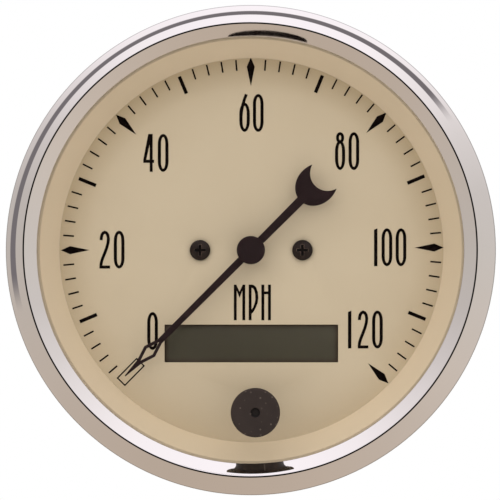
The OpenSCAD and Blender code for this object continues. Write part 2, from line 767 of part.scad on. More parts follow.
module lamp_bulb() color("lightyellow") in_place() at_lamp() {
    dome_z = barrel_z + bulb_l - bulb_d / 2;
    bar(wedge_w, wedge_t, barrel_z - wedge_l, barrel_z + eps);
    rod(bulb_d / 2, barrel_z, dome_z);
    translate([0, 0, dome_z]) sphere(bulb_d / 2);
}

// Pointer along +X as one outline: spear, lozenge, stem and the oval of the tail
module pointer_outline() {
    upper = [
        [pointer_r, tip_w / 2],
        [lozenge_end - spear_w / lozenge_slope / 2, spear_w / 2],
        [lozenge_end - lozenge_l / 2, lozenge_w / 2],
        [lozenge_end - lozenge_l + stem_tip_w / lozenge_slope / 2, stem_tip_w / 2]
    ];
    root_angle = asin(stem_tail_w / tail_oval_w);
    step = (360 - 2 * root_angle) / tail_steps;
    angles = [for (i = [0 : tail_steps]) root_angle + i * step];
    oval = [for (a = angles) [tail_oval_l / 2 * cos(a) - tail_l, tail_oval_w / 2 * sin(a)]];
    lower = [for (i = [len(upper) - 1 : -1 : 0]) [upper[i].x, -upper[i].y]];
    polygon(concat(upper, oval, lower));
}

// Opening of the lozenge, which leaves struts of even width
module lozenge_opening() {
    side = norm([lozenge_l, lozenge_w]);
    half_l = lozenge_l / 2 - lozenge_strut * side / lozenge_w;
    half_w = lozenge_w / 2 - lozenge_strut * side / lozenge_l;
    translate([lozenge_end - lozenge_l / 2, 0]) polygon([[-half_l, 0], [0, half_w], [half_l, 0], [0, -half_w]]);
}

module pointer_blade() color("black") in_place() rotate([0, 0, pointer_zero]) translate([0, 0, pointer_z])
    difference() {
        union() {
            linear_extrude(pointer_t) pointer_outline();
            cylinder(r = hub_d / 2 - free_gap, h = pointer_t);
        }
        translate([0, 0, -eps]) linear_extrude(pointer_t + 2 * eps) lozenge_opening();
        translate([-tail_l - crescent_cut_shift, 0, 0]) rod(crescent_cut_r, -eps, pointer_t + eps);
        rod(hub_boss_d / 2 + press_fit, -eps, pointer_t + eps);
    }

module pointer_hub() color("black") in_place() difference() {
    union() {
        rod(hub_d / 2, hub_base_z, hub_base_z + hub_h);
        rod(hub_boss_d / 2, pointer_z - hub_boss_l, spindle_top_z);
    }
    rod(spindle_d / 2 + press_fit, pointer_z - hub_boss_l - eps, spindle_top_z);
}

module pointer_spindle() color("silver") in_place() {
    rod(spindle_d / 2, jewel_z + run_fit, spindle_top_z);
    rod(pivot_d / 2, jewel_z - pivot_l, jewel_z + eps);
}

module rotor_magnet() color("dimgray") in_place() difference() {
    rod(rotor_d / 2, split_z - rotor_h / 2, split_z + rotor_h / 2);
    rod(spindle_d / 2 + press_fit, split_z - rotor_h / 2 - eps, split_z + rotor_h / 2 + eps);
}

module button_cap() color("black") in_place() at_button() difference() {
    rotate_extrude() {
        translate([0, button_z]) square([button_d / 2, button_t - button_edge_r]);
        translate([0, button_z]) square([button_d / 2 - button_edge_r, button_t]);
        translate([button_d / 2 - button_edge_r, button_z + button_t - button_edge_r]) circle(button_edge_r);
    }
    rod(button_nose_d / 2 + press_fit, button_z - eps, button_z + button_nose_l);
    rod(dimple_d / 2, button_z + button_t - dimple_depth, button_z + button_t + eps);
}

module button_stem() color("black") in_place() at_button() {
    rod(button_nose_d / 2, button_z - eps, button_z + button_nose_l);
    rod(stem_r, actuator_z, button_z);
    rod(stem_r + collar_w, collar_z - collar_t, collar_z);
}

module switch_actuator() color("white") in_place() at_button()
    rod(actuator_d / 2, board_z + switch_h - actuator_seat, actuator_z);

bezel_ring();
case_cup();
lens_gasket();
lens();
button_grommet();
dial_ring();
dial_plate();
dial_screws();
dial_pillars();
lcd_glass();
lcd_frame();
lcd_contact_strips();
circuit_board();
board_parts();
trip_switch();
bobbin_front();
bobbin_rear();
coil_inner();
coil_outer();
coil_pins();
flux_can();
spindle_bush();
pivot_jewel();
mounting_studs();
board_screws();
stud_washers();
stud_nuts();
terminal_block();
terminal_blades();
terminal_rivets();
lamp_socket();
lamp_bulb();
pointer_blade();
pointer_hub();
pointer_spindle();
rotor_magnet();
button_cap();
button_stem();
switch_actuator();
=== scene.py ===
"""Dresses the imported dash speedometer: smooth pieces, dial print, finishes, studio and camera.

Sizes are in millimetres on the gauge's own axes: x to the right, y up and z towards the driver.
The scene is in metres, with the dial facing -Y.
"""

import logging
import math
from dataclasses import dataclass
from enum import Enum
from functools import cache, partial
from typing import Callable, ClassVar, Optional, Sequence

import bmesh
import bpy
from bpy.types import ID, Material, Node, NodeSocket, NodeTree, Object
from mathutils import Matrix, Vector


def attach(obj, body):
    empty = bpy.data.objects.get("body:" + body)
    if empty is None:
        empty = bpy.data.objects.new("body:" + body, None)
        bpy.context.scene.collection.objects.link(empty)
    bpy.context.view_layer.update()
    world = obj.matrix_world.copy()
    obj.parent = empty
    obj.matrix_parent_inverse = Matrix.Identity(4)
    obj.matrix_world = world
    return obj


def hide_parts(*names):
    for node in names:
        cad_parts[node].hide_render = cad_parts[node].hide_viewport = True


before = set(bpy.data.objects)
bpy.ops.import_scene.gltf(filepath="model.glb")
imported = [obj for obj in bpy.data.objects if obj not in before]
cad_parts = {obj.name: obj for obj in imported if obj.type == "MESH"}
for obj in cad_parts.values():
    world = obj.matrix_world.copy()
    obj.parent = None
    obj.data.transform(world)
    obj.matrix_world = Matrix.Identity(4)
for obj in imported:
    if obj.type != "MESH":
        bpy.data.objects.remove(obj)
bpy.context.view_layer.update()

LOG = logging.getLogger("speedometer")
MM = 0.001
MERGE = 1e-7
NEAR = 2e-6
SMOOTH_ANGLE = math.radians(32)
STRAIGHT = math.radians(89.9)
MITRE_LIMIT = 0.3
# Radii of rounded edges, in millimetres, from barely broken to clearly round.
HAIR = 0.05
FINE = 0.1
SLIGHT = 0.15
SOFT = 0.2
ROUND = 0.3
# Steps of a full turn, for holes and turned parts of growing size.
HOLE_TURN = 32
BORE_TURN = 48
SMALL_TURN = 64
CAP_TURN = 96
RING_TURN = 192
# Numbers of the node groups: share of broad grain, its scale, gain of worn edges, and share of the painted
# shade at the dial's edge, low at the bottom and high at the top.
GRAIN_BROAD = 0.6
GRAIN_BROAD_SCALE = 0.06
EDGE_GAIN = 6.0
RIM_SHADE_LOW = 0.06
RIM_SHADE_HIGH = 0.48
Point = tuple[float, float]
Triple = tuple[float, float, float]
Corner = Triple
RGB = Triple
# Places and heights, in millimetres, that several pieces share.
BUTTON_AT: Point = (1.1, -30.75)
LAMP_AT: Point = (0.0, 24.0)
STUD_X = 22.225
RIVET_X = 16.8
TERMINAL_Y = -24.0
DIAL_Z = -3.233
LENS_BACK_Z = 3.767
LENS_FRONT_Z = 5.967


class Body(Enum):
    """The bodies that pieces ride on."""

    CASE = "case"
    POINTER = "pointer"
    BUTTON = "trip_button"
    LAMP = "lamp"


class Carve(Enum):
    """What a tool does to the piece that it meets."""

    CUT = "DIFFERENCE"
    WELD = "UNION"
    TRIM = "INTERSECT"


def place(x: float, y: float, z: float) -> Vector:
    """Scene point, in metres, of a gauge point in millimetres."""
    return Vector((x, -z, y)) * MM


def focus(*pieces: Object) -> None:
    """Selects pieces alone and makes the first one active.

    Args:
        pieces: The pieces, in object mode.
    """
    bpy.ops.object.select_all(action="DESELECT")
    for piece in pieces:
        piece.select_set(True)
    bpy.context.view_layer.objects.active = pieces[0]


def new_piece(name: str) -> Object:
    """Adds a small square, opens it for editing and clears it, ready for tracing.

    Args:
        name: Name of the piece.

    Returns:
        The new object, in edit mode.
    """
    bpy.ops.object.select_all(action="DESELECT")
    bpy.ops.mesh.primitive_plane_add(size=2 * MM)
    piece = bpy.context.object
    piece.name = name
    bpy.ops.object.mode_set(mode="EDIT")
    bpy.ops.mesh.select_mode(type="VERT")
    bpy.ops.mesh.delete(type="VERT")
    return piece


def pick(test: Callable[[bmesh.types.BMVert], bool]) -> None:
    """Selects what lies between the open piece's vertices that pass a test.

    Args:
        test: Says whether a vertex is selected.
    """
    mesh = bpy.context.object.data
    bpy.ops.mesh.select_all(action="DESELECT")
    shape = bmesh.from_edit_mesh(mesh)
    shape.verts.index_update()
    for vertex in shape.verts:
        vertex.select = test(vertex)
    shape.select_flush_mode()
    bmesh.update_edit_mesh(mesh)


def trace(points: Sequence[Vector], closed: bool) -> None:
    """Adds a vertex to the open piece, extrudes it from point to point and leaves everything selected.

    Args:
        points: Scene points of the line, in order.
        closed: Whether the last point joins the first.
    """
    bpy.ops.mesh.select_all(action="DESELECT")
    bpy.ops.mesh.primitive_plane_add(size=2 * MM)
    bpy.ops.mesh.merge(type="CENTER")
    bpy.ops.transform.translate(value=points[0])
    for before, after in zip(points, points[1:]):
        bpy.ops.mesh.extrude_region_move(TRANSFORM_OT_translate={"value": after - before})
    if closed:
        ends = (points[0], points[-1])
        pick(lambda vertex: min((vertex.co - end).length for end in ends) < NEAR)
        bpy.ops.mesh.edge_face_add()
    bpy.ops.mesh.select_all(action="SELECT")


def close_piece(piece: Object) -> Object:
    """Merges doubles, turns the faces outwards and leaves edit mode.

    Args:
        piece: The piece that is open for editing.

    Returns:
        The same piece, in object mode.
    """
    bpy.ops.mesh.select_all(action="SELECT")
    bpy.ops.mesh.remove_doubles(threshold=MERGE)
    bpy.ops.mesh.normals_make_consistent(inside=False)
    bpy.ops.object.mode_set(mode="OBJECT")
    return piece


def turned(name: str, profile: Sequence[Point], closed: bool = False, centre: Point = (0.0, 0.0),
           steps: int = 128) -> Object:
    """Turns a half section about the gauge's axis or one beside it, as a lathe does.

    Args:
        name: Name of the piece.
        profile: Points of the section as (radius, z).
        closed: Whether the section closes on itself, as a ring's does.
        centre: Where the axis stands, as (x, y).
        steps: Steps of the full turn.

    Returns:
        The solid, in object mode.
    """
    piece = new_piece(name)
    trace([place(centre[0] + r, centre[1], z) for r, z in profile], closed)
    bpy.ops.mesh.spin(steps=steps, angle=math.tau, center=place(*centre, 0), axis=(0, 1, 0))
    return close_piece(piece)


def lathe(name: str, corners: Sequence[Corner], ring: bool = False, centre: Point = (0.0, 0.0),
          steps: int = 128, bend_steps: int = 5) -> Object:
    """Turns a half section with rounded corners.

    Args:
        name: Name of the piece.
        corners: Corners of the section as (radius, z, rounding).
        ring: Whether the section closes on itself.
        centre: Where the axis stands, as (x, y).
        steps: Steps of the full turn.
        bend_steps: Steps of each rounding.

    Returns:
        The solid, in object mode.
    """
    return turned(name, eased(corners, bend_steps, ring), ring, centre, steps)


def slab(name: str, loops: Sequence[Sequence[Vector]], depth: Vector) -> Object:
    """Fills an outline with its openings and pushes it out to a solid.

    Args:
        name: Name of the piece.
        loops: The outline and its openings, as scene points in one plane.
        depth: How far and which way the face is pushed.

    Returns:
        The solid, in object mode.
    """
    piece = new_piece(name)
    for loop in loops:
        trace(loop, True)
    bpy.ops.mesh.select_all(action="SELECT")
    bpy.ops.mesh.fill(use_beauty=True)
    bpy.ops.mesh.select_all(action="SELECT")
    bpy.ops.mesh.extrude_region_move(TRANSFORM_OT_translate={"value": depth})
    return close_piece(piece)


def plate(name: str, loops: Sequence[Sequence[Point]], back: float, front: float) -> Object:
    """A flat solid that faces the driver.

    Args:
        name: Name of the piece.
        loops: The outline and its openings, as points (x, y).
        back: Height of the back face.
        front: Height of the front face.

    Returns:
        The solid, in object mode.
    """
    return slab(name, [[place(x, y, back) for x, y in loop] for loop in loops], place(0, 0, front - back))


def block(name: str, centre: Point, size: Point, back: float, front: float) -> Object:
    """A rectangular solid, from a cube sized in edit mode.

    Args:
        name: Name of the piece.
        centre: Its middle, as (x, y).
        size: Its width and height.
        back: Height of its back face.
        front: Height of its front face.

    Returns:
        The solid, in object mode.
    """
    low = (centre[0] - size[0] / 2, centre[1] - size[1] / 2, back)
    high = (centre[0] + size[0] / 2, centre[1] + size[1] / 2, front)
    bpy.ops.object.select_all(action="DESELECT")
    bpy.ops.mesh.primitive_cube_add(size=MM)
    piece = bpy.context.object
    piece.name = name
    bpy.ops.object.mode_set(mode="EDIT")
    width, height, depth = (b - a for a, b in zip(low, high))
    bpy.ops.transform.resize(value=(width, depth, height), center_override=(0, 0, 0))
    bpy.ops.transform.translate(value=place(*((a + b) / 2 for a, b in zip(low, high))))
    return close_piece(piece)


def apply_step(piece: Object, kind: str, **settings: object) -> None:
    """Adds a modifier to a piece, sets it and applies it.

    Args:
        piece: The piece to change.
        kind: Blender's name of the modifier.
        settings: Values of the modifier's own settings.
    """
    focus(piece)
    step = piece.modifiers.new(kind.lower(), kind)
    for key, value in settings.items():
        setattr(step, key, value)
    bpy.ops.object.modifier_apply(modifier=step.name)


def carve(piece: Object, tool: Object, how: Carve = Carve.CUT) -> None:
    """Cuts, welds or trims a piece with another solid, which is used up.

    Args:
        piece: The piece to change.
        tool: The solid that changes it.
        how: What the tool does.
    """
    apply_step(piece, "BOOLEAN", operation=how.value, solver="EXACT", object=tool)
    bpy.data.objects.remove(tool)


def ease_edges(piece: Object, width: float, segments: int = 2, angle: float = 40.0) -> None:
    """Rounds every edge of a piece that is sharper than an angle.

    Args:
        piece: The piece to change.
        width: Width of the rounding.
        segments: Faces across it.
        angle: Edges under this angle, in degrees, stay as they are.
    """
    apply_step(piece, "BEVEL", width=width * MM, segments=segments, limit_method="ANGLE",
               angle_limit=math.radians(angle), use_clamp_overlap=True)


def repeat_at(piece: Object, offsets: Sequence[Point]) -> Object:
    """Copies a piece's whole mesh sideways, within the piece.

    Args:
        piece: The piece to repeat, which keeps its own place.
        offsets: Steps from the first place to each copy's, as (x, y).

    Returns:
        The same piece, in object mode.
    """
    focus(piece)
    first = len(piece.data.vertices)
    bpy.ops.object.mode_set(mode="EDIT")
    for x, y in offsets:
        pick(lambda vertex: vertex.index < first)
        bpy.ops.mesh.duplicate_move(TRANSFORM_OT_translate={"value": place(x, y, 0)})
    bpy.ops.object.mode_set(mode="OBJECT")
    return piece


def paired(piece: Object, x: float) -> Object:
    """Copies a piece that stands at -x to the other side, within the piece."""
    return repeat_at(piece, [(2 * x, 0)])


def join(pieces: Sequence[Object]) -> Object:
    """Joins solids that don't touch into the first one.

    Args:
        pieces: The solids, in object mode.

    Returns:
        The first piece, which then holds them all.
    """
    focus(*pieces)
    bpy.ops.object.join()
    return pieces[0]


def arc(centre: Point, radius: float, start: float, end: float, steps: int) -> list[Point]:
    """Points of an arc.

    Args:
        centre: Centre of the arc.
        radius: Its radius.
        start: Angle of its first point, in degrees.
        end: Angle of its last point, in degrees.
        steps: Steps between them.

    Returns:
        The points, both ends included.
    """
    turns = [math.radians(start + (end - start) * i / steps) for i in range(steps + 1)]
    return [(centre[0] + radius * math.cos(t), centre[1] + radius * math.sin(t)) for t in turns]


def circle(centre: Point, radius: float, steps: int = 64) -> list[Point]:
    """Points of a full circle, each once."""
    return arc(centre, radius, 0.0, 360.0, steps)[:-1]


def hexagon(centre: Point, width: float) -> list[Point]:
    """Points of a hexagon with a width across its flats."""
    return circle(centre, width / 2 / math.cos(math.pi / 6), 6)


def eased(corners: Sequence[Corner], steps: int = 5, closed: bool = True,
          support: float = 0.08) -> list[Point]:
    """Rounds the corners of an outline and holds its straight runs straight with a point near each end.

    Args:
        corners: Points as (x, y, radius). Radius 0 keeps a corner sharp.
        steps: Steps of each rounding.
        closed: Whether a run leads from the last corner to the first.
        support: Distance of the holding points from the ends of a run.

    Returns:
        Points of the outline.
    """
    bends: list[list[Point]] = []
    for i, (x, y, radius) in enumerate(corners):
        here = Vector((x, y))
        back = (Vector(corners[i - 1][:2]) - here).normalized()
        ahead = (Vector(corners[(i + 1) % len(corners)][:2]) - here).normalized()
        half = back.angle(ahead) / 2
        if radius <= 0 or half > STRAIGHT:
            bends.append([(x, y)])
            continue
        centre = here + (back + ahead).normalized() * (radius / math.sin(half))
        foot = here + back * (radius / math.tan(half)) - centre
        toe = here + ahead * (radius / math.tan(half)) - centre
        sweep = foot.angle_signed(toe)
        first = math.atan2(foot.y, foot.x)
        turns = [first - sweep * k / steps for k in range(steps + 1)]
        bends.append([(centre.x + radius * math.cos(t), centre.y + radius * math.sin(t)) for t in turns])
    points: list[Point] = []
    for i, bend in enumerate(bends):
        points += bend
        if i == len(bends) - 1 and not closed:
            break
        following = bends[(i + 1) % len(bends)]
        start, end = Vector(bend[-1]), Vector(following[0])
        if (end - start).length > 4 * support:
            step = (end - start).normalized() * support
            points += [tuple(start + step), tuple(end - step)]
    return points


def feed(tree: NodeTree, socket: NodeSocket, value: object) -> None:
    """Links a socket from another one, or sets its value.

    Args:
        tree: Node tree of the socket.
        socket: The input.
        value: A value, or the socket to link from.
    """
    if isinstance(value, NodeSocket):
        tree.links.new(value, socket)
    else:
        socket.default_value = value


def add_node(tree: NodeTree, kind: str, **inputs: object) -> Node:
    """Adds a node and sets or links its inputs.

    Args:
        tree: Node tree that takes it.
        kind: Blender's name of the node.
        inputs: Socket names, with _ for a space, and a value or the socket to link from.

    Returns:
        The new node.
    """
    made = tree.nodes.new(kind)
    for name, value in inputs.items():
        feed(tree, made.inputs[name.replace("_", " ")], value)
    return made


def math_node(tree: NodeTree, operation: str, *values: object, clamp: bool = False) -> NodeSocket:
    """Adds a Math node.

    Args:
        tree: Node tree that takes it.
        operation: Blender's name of the operation.
        values: Numbers, or sockets to link from.
        clamp: Whether the result is held between 0 and 1.

    Returns:
        The node's output.
    """
    made = tree.nodes.new("ShaderNodeMath")
    made.operation = operation
    made.use_clamp = clamp
    for socket, value in zip(made.inputs, values):
        feed(tree, socket, value)
    return made.outputs[0]


def vector_node(tree: NodeTree, operation: str, *values: object) -> Node:
    """Adds a Vector Math node.

    Args:
        tree: Node tree that takes it.
        operation: Blender's name of the operation.
        values: Sockets to link from.

    Returns:
        The new node.
    """
    made = tree.nodes.new("ShaderNodeVectorMath")
    made.operation = operation
    for socket, value in zip(made.inputs, values):
        feed(tree, socket, value)
    return made


def blend(tree: NodeTree, share: object, below: object, above: object, kind: str = "MIX") -> NodeSocket:
    """Mixes two colours.

    Args:
        tree: Node tree that takes the node.
        share: Share of the second colour, as a number or socket.
        below: The first colour, or the socket to link from.
        above: The second colour, or the socket to link from.
        kind: Blender's name of the way that they mix.

    Returns:
        The mixed colour.
    """
    mix = tree.nodes.new("ShaderNodeMix")
    mix.data_type = "RGBA"
    mix.blend_type = kind
    # The colour sockets of a Mix node share their names with its other kinds, so they go by number.
    for socket, value in zip((mix.inputs[0], mix.inputs[6], mix.inputs[7]), (share, below, above)):
        feed(tree, socket, value)
    return mix.outputs[2]


def see_through(tree: NodeTree, shader: Node, share: NodeSocket) -> None:
    """Mixes a material's shader with clear and puts the mix out.

    Args:
        tree: The material's node tree.
        shader: Its shader.
        share: Share of clear.
    """
    mix = add_node(tree, "ShaderNodeMixShader", Fac=share)
    clear = tree.nodes.new("ShaderNodeBsdfTransparent")
    tree.links.new(shader.outputs[0], mix.inputs[1])
    tree.links.new(clear.outputs[0], mix.inputs[2])
    tree.links.new(mix.outputs[0], tree.nodes["Material Output"].inputs["Surface"])


def new_material(name: str) -> Material:
    """Makes a material with Blender's first nodes.

    Args:
        name: Name of the material.

    Returns:
        The material.
    """
    made = bpy.data.materials.new(name)
    made.use_nodes = True
    return made


def object_point(tree: NodeTree) -> NodeSocket:
    """Place on the object, as a texture coordinate."""
    return tree.nodes.new("ShaderNodeTexCoord").outputs["Object"]


def new_group(name: str, inputs: dict[str, str], outputs: dict[str, str]) -> NodeTree:
    """Makes an empty shader node group.

    Args:
        name: Name of the group.
        inputs: Socket names and their kinds.
        outputs: Socket names and their kinds.

    Returns:
        The group, with its input and output nodes.
    """
    group = bpy.data.node_groups.new(name, "ShaderNodeTree")
    for sockets, side in ((inputs, "INPUT"), (outputs, "OUTPUT")):
        for socket, kind in sockets.items():
            group.interface.new_socket(name=socket, in_out=side, socket_type="NodeSocket" + kind)
    group.nodes.new("NodeGroupInput").name = "in"
    group.nodes.new("NodeGroupOutput").name = "out"
    return group


@cache
def mottle_group() -> NodeTree:
    """Two colours that drift into each other in soft patches.

    Returns:
        The group, made on its first use.
    """
    group = new_group("mottle", {"Main": "Color", "Patch": "Color", "Scale": "Float"}, {"Color": "Color"})
    given = group.nodes["in"].outputs
    where = object_point(group)
    soft = add_node(group, "ShaderNodeTexNoise", Vector=where, Scale=given["Scale"], Detail=4.0,
                    Roughness=0.6)
    share = add_node(group, "ShaderNodeMapRange", Value=soft.outputs["Fac"], From_Min=0.35, From_Max=0.7)
    mixed = blend(group, share.outputs[0], given["Main"], given["Patch"])
    group.links.new(mixed, group.nodes["out"].inputs["Color"])
    return group


@cache
def grain_group() -> NodeTree:
    """Fine grain: a height for the bump and a roughness that varies with it.

    Returns:
        The group, made on its first use.
    """
    group = new_group("grain", {"Scale": "Float", "Smooth": "Float", "Rough": "Float"},
                      {"Height": "Float", "Roughness": "Float"})
    given = group.nodes["in"].outputs
    where = object_point(group)
    fine = add_node(group, "ShaderNodeTexNoise", Vector=where, Scale=given["Scale"], Detail=3.0)
    broad_scale = math_node(group, "MULTIPLY", given["Scale"], GRAIN_BROAD_SCALE)
    broad = add_node(group, "ShaderNodeTexNoise", Vector=where, Scale=broad_scale, Detail=5.0, Roughness=0.65)
    both = math_node(group, "ADD", math_node(group, "MULTIPLY", fine.outputs["Fac"], 1.0 - GRAIN_BROAD),
                     math_node(group, "MULTIPLY", broad.outputs["Fac"], GRAIN_BROAD))
    rough = add_node(group, "ShaderNodeMapRange", Value=both, From_Min=0.3, From_Max=0.7,
                     To_Min=given["Smooth"], To_Max=given["Rough"])
    group.links.new(fine.outputs["Fac"], group.nodes["out"].inputs["Height"])
    group.links.new(rough.outputs[0], group.nodes["out"].inputs["Roughness"])
    return group


@cache
def wear_group() -> NodeTree:
    """Mask of worn edges, broken up by noise.

    Returns:
        The group, made on its first use.
    """
    group = new_group("edge_wear", {"Radius": "Float", "Amount": "Float"}, {"Mask": "Float"})
    given = group.nodes["in"].outputs
    where = object_point(group)
    rounded = add_node(group, "ShaderNodeBevel", Radius=given["Radius"])
    plain = group.nodes.new("ShaderNodeNewGeometry")
    agree = vector_node(group, "DOT_PRODUCT", rounded.outputs[0], plain.outputs["Normal"])
    apart = math_node(group, "SUBTRACT", 1.0, agree.outputs["Value"])
    edge = math_node(group, "MULTIPLY", apart, EDGE_GAIN, clamp=True)
    patchy = add_node(group, "ShaderNodeTexNoise", Vector=where, Scale=900.0, Detail=6.0, Roughness=0.7)
    broken = add_node(group, "ShaderNodeMapRange", Value=patchy.outputs["Fac"], From_Min=0.42, From_Max=0.6)
    worn = math_node(group, "MULTIPLY", edge, broken.outputs[0])
    mask = math_node(group, "MULTIPLY", worn, given["Amount"])
    group.links.new(mask, group.nodes["out"].inputs["Mask"])
    return group


@cache
def recess_shade_group() -> NodeTree:
    """Mask of painted shade in recesses, from ambient occlusion.

    Returns:
        The group, made on its first use.
    """
    group = new_group("recess", {"Reach": "Float", "Full": "Float"}, {"Mask": "Float"})
    given = group.nodes["in"].outputs
    open_sky = add_node(group, "ShaderNodeAmbientOcclusion", Distance=given["Reach"])
    open_sky.samples = 8
    mask = add_node(group, "ShaderNodeMapRange", Value=open_sky.outputs["AO"], From_Min=0.92,
                    From_Max=given["Full"])
    group.links.new(mask.outputs[0], group.nodes["out"].inputs["Mask"])
    return group


@cache
def fleck_group() -> NodeTree:
    """Mask of scattered specks of dust, as seen from the front.

    Returns:
        The group, made on its first use.
    """
    group = new_group("flecks", {"Scale": "Float", "Share": "Float", "Size": "Float"}, {"Mask": "Float"})
    given = group.nodes["in"].outputs
    where = object_point(group)
    flat = add_node(group, "ShaderNodeMapping", Vector=where, Rotation=(math.pi / 2, 0.0, 0.0))
    cells = group.nodes.new("ShaderNodeTexVoronoi")
    cells.voronoi_dimensions = "2D"
    group.links.new(flat.outputs[0], cells.inputs["Vector"])
    group.links.new(given["Scale"], cells.inputs["Scale"])
    draw = add_node(group, "ShaderNodeSeparateColor", Color=cells.outputs["Color"]).outputs
    size = math_node(group, "MULTIPLY", given["Size"], draw["Green"])
    speck = math_node(group, "LESS_THAN", cells.outputs["Distance"], size)
    chosen = math_node(group, "LESS_THAN", draw["Red"], given["Share"])
    mask = math_node(group, "MULTIPLY", math_node(group, "MULTIPLY", speck, chosen), draw["Blue"])
    group.links.new(mask, group.nodes["out"].inputs["Mask"])
    return group


@cache
def rim_shade_group() -> NodeTree:
    """Mask of painted shade that grows towards the dial's edge, most at the top.

    Returns:
        The group, made on its first use.
    """
    group = new_group("rim", {"Start": "Float", "End": "Float"}, {"Mask": "Float"})
    given = group.nodes["in"].outputs
    where = object_point(group)
    axes = add_node(group, "ShaderNodeSeparateXYZ", Vector=where).outputs
    flat = add_node(group, "ShaderNodeCombineXYZ", X=axes["X"], Z=axes["Z"])
    reach = vector_node(group, "LENGTH", flat.outputs[0])
    near = add_node(group, "ShaderNodeMapRange", Value=reach.outputs["Value"], From_Min=given["Start"],
                    From_Max=given["End"])
    height = math_node(group, "DIVIDE", axes["Z"], given["End"])
    share = add_node(group, "ShaderNodeMapRange", Value=height, From_Min=-1.0, From_Max=1.0,
                     To_Min=RIM_SHADE_LOW, To_Max=RIM_SHADE_HIGH)
    mask = math_node(group, "MULTIPLY", near.outputs[0], share.outputs[0])
    group.links.new(mask, group.nodes["out"].inputs["Mask"])
    return group


def use_group(tree: NodeTree, group: NodeTree, **inputs: object) -> Node:
    """Places a node group in a material.

    Args:
        tree: The material's node tree.
        group: The group to place.
        inputs: Its inputs, as for add_node.

    Returns:
        The group's node.
    """
    made = tree.nodes.new("ShaderNodeGroup")
    made.node_tree = group
    for name, value in inputs.items():
        made.inputs[name].default_value = value
    return made


@dataclass(frozen=True)
class Finish:
    """A surface finish: colour in soft patches, grain, and worn edges, painted shade in recesses, specks or
    painted shade towards the dial's edge.
    """

    slot: str
    colour: RGB
    patch_colour: RGB
    patch_scale: float = 60.0
    smooth: float = 0.35
    rough: float = 0.5
    metallic: float = 0.0
    grain_scale: float = 4000.0
    bump: float = 0.08
    bump_depth: float = 0.00003
    worn_colour: Optional[RGB] = None
    wear: float = 0.7
    wear_radius: float = 0.00015
    specular: float = 0.5
    # Painted shade in recesses: its colour, how far occlusion is sought, and the occlusion at which it is
    # full.
    recess_shade_colour: Optional[RGB] = None
    recess_reach: float = 0.001
    recess_full: float = 0.5
    fleck_colour: Optional[RGB] = None
    fleck_scale: float = 1000.0
    fleck_share: float = 0.4
    fleck_size: float = 0.17
    # Painted shade towards the dial's edge, darkest at the top: its colour, and the radii in metres where it
    # starts and where it is full.
    rim_shade_colour: Optional[RGB] = None
    rim: Point = (0.0305, 0.0368)
    variant: str = ""

    @cache
    def material(self) -> Material:
        """Builds the finish's material on its first use.

        Returns:
            The material.
        """
        made = new_material(self.slot + self.variant + "_finish")
        self.dress(made.node_tree, made.node_tree.nodes["Principled BSDF"])
        return made

    def dress(self, tree: NodeTree, shader: Node) -> None:
        """Links the patches, wear, painted shade in recesses, specks, painted shade at the dial's edge and
        grain to the shader.

        Args:
            tree: The material's node tree.
            shader: Its Principled BSDF.
        """
        shader.inputs["Metallic"].default_value = self.metallic
        shader.inputs["Specular IOR Level"].default_value = self.specular
        colours = use_group(tree, mottle_group(), Main=(*self.colour, 1), Patch=(*self.patch_colour, 1),
                            Scale=self.patch_scale)
        tone = colours.outputs["Color"]
        layers = []
        if self.worn_colour:
            worn = use_group(tree, wear_group(), Radius=self.wear_radius, Amount=self.wear)
            layers.append((worn, self.worn_colour))
        # Painted shade in recesses.
        if self.recess_shade_colour:
            recess_shade_mask = use_group(tree, recess_shade_group(), Reach=self.recess_reach, Full=self.recess_full)
            layers.append((recess_shade_mask, self.recess_shade_colour))
        if self.fleck_colour:
            specks = use_group(tree, fleck_group(), Scale=self.fleck_scale, Share=self.fleck_share,
                               Size=self.fleck_size)
            layers.append((specks, self.fleck_colour))
        # Painted shade towards the dial's edge, strongest at the top.
        if self.rim_shade_colour:
            edge = use_group(tree, rim_shade_group(), Start=self.rim[0], End=self.rim[1])
            layers.append((edge, self.rim_shade_colour))
        for masked, colour in layers:
            tone = blend(tree, masked.outputs["Mask"], tone, (*colour, 1))
        tree.links.new(tone, shader.inputs["Base Color"])
        grain = use_group(tree, grain_group(), Scale=self.grain_scale, Smooth=self.smooth, Rough=self.rough)
        tree.links.new(grain.outputs["Roughness"], shader.inputs["Roughness"])
        relief = add_node(tree, "ShaderNodeBump", Height=grain.outputs["Height"], Strength=self.bump,
                          Distance=self.bump_depth)
        tree.links.new(relief.outputs["Normal"], shader.inputs["Normal"])


@dataclass(frozen=True)
class ClearFinish(Finish):
    """Clear glass that lets light through to what is behind it."""

    index: float = 1.5

    def dress(self, tree: NodeTree, shader: Node) -> None:
        """Makes the shader glass for the eye, and open for light and reflections.

        Args:
            tree: The material's node tree.
            shader: Its Principled BSDF.
        """
        shader.inputs["Base Color"].default_value = (*self.colour, 1)
        shader.inputs["Transmission Weight"].default_value = 1.0
        shader.inputs["IOR"].default_value = self.index
        grain = use_group(tree, grain_group(), Scale=self.grain_scale, Smooth=self.smooth, Rough=self.rough)
        tree.links.new(grain.outputs["Roughness"], shader.inputs["Roughness"])
        path = tree.nodes.new("ShaderNodeLightPath").outputs
        open_to = math_node(tree, "MAXIMUM", path["Is Shadow Ray"], path["Is Diffuse Ray"])
        open_to = math_node(tree, "MAXIMUM", open_to, path["Is Glossy Ray"])
        see_through(tree, shader, open_to)


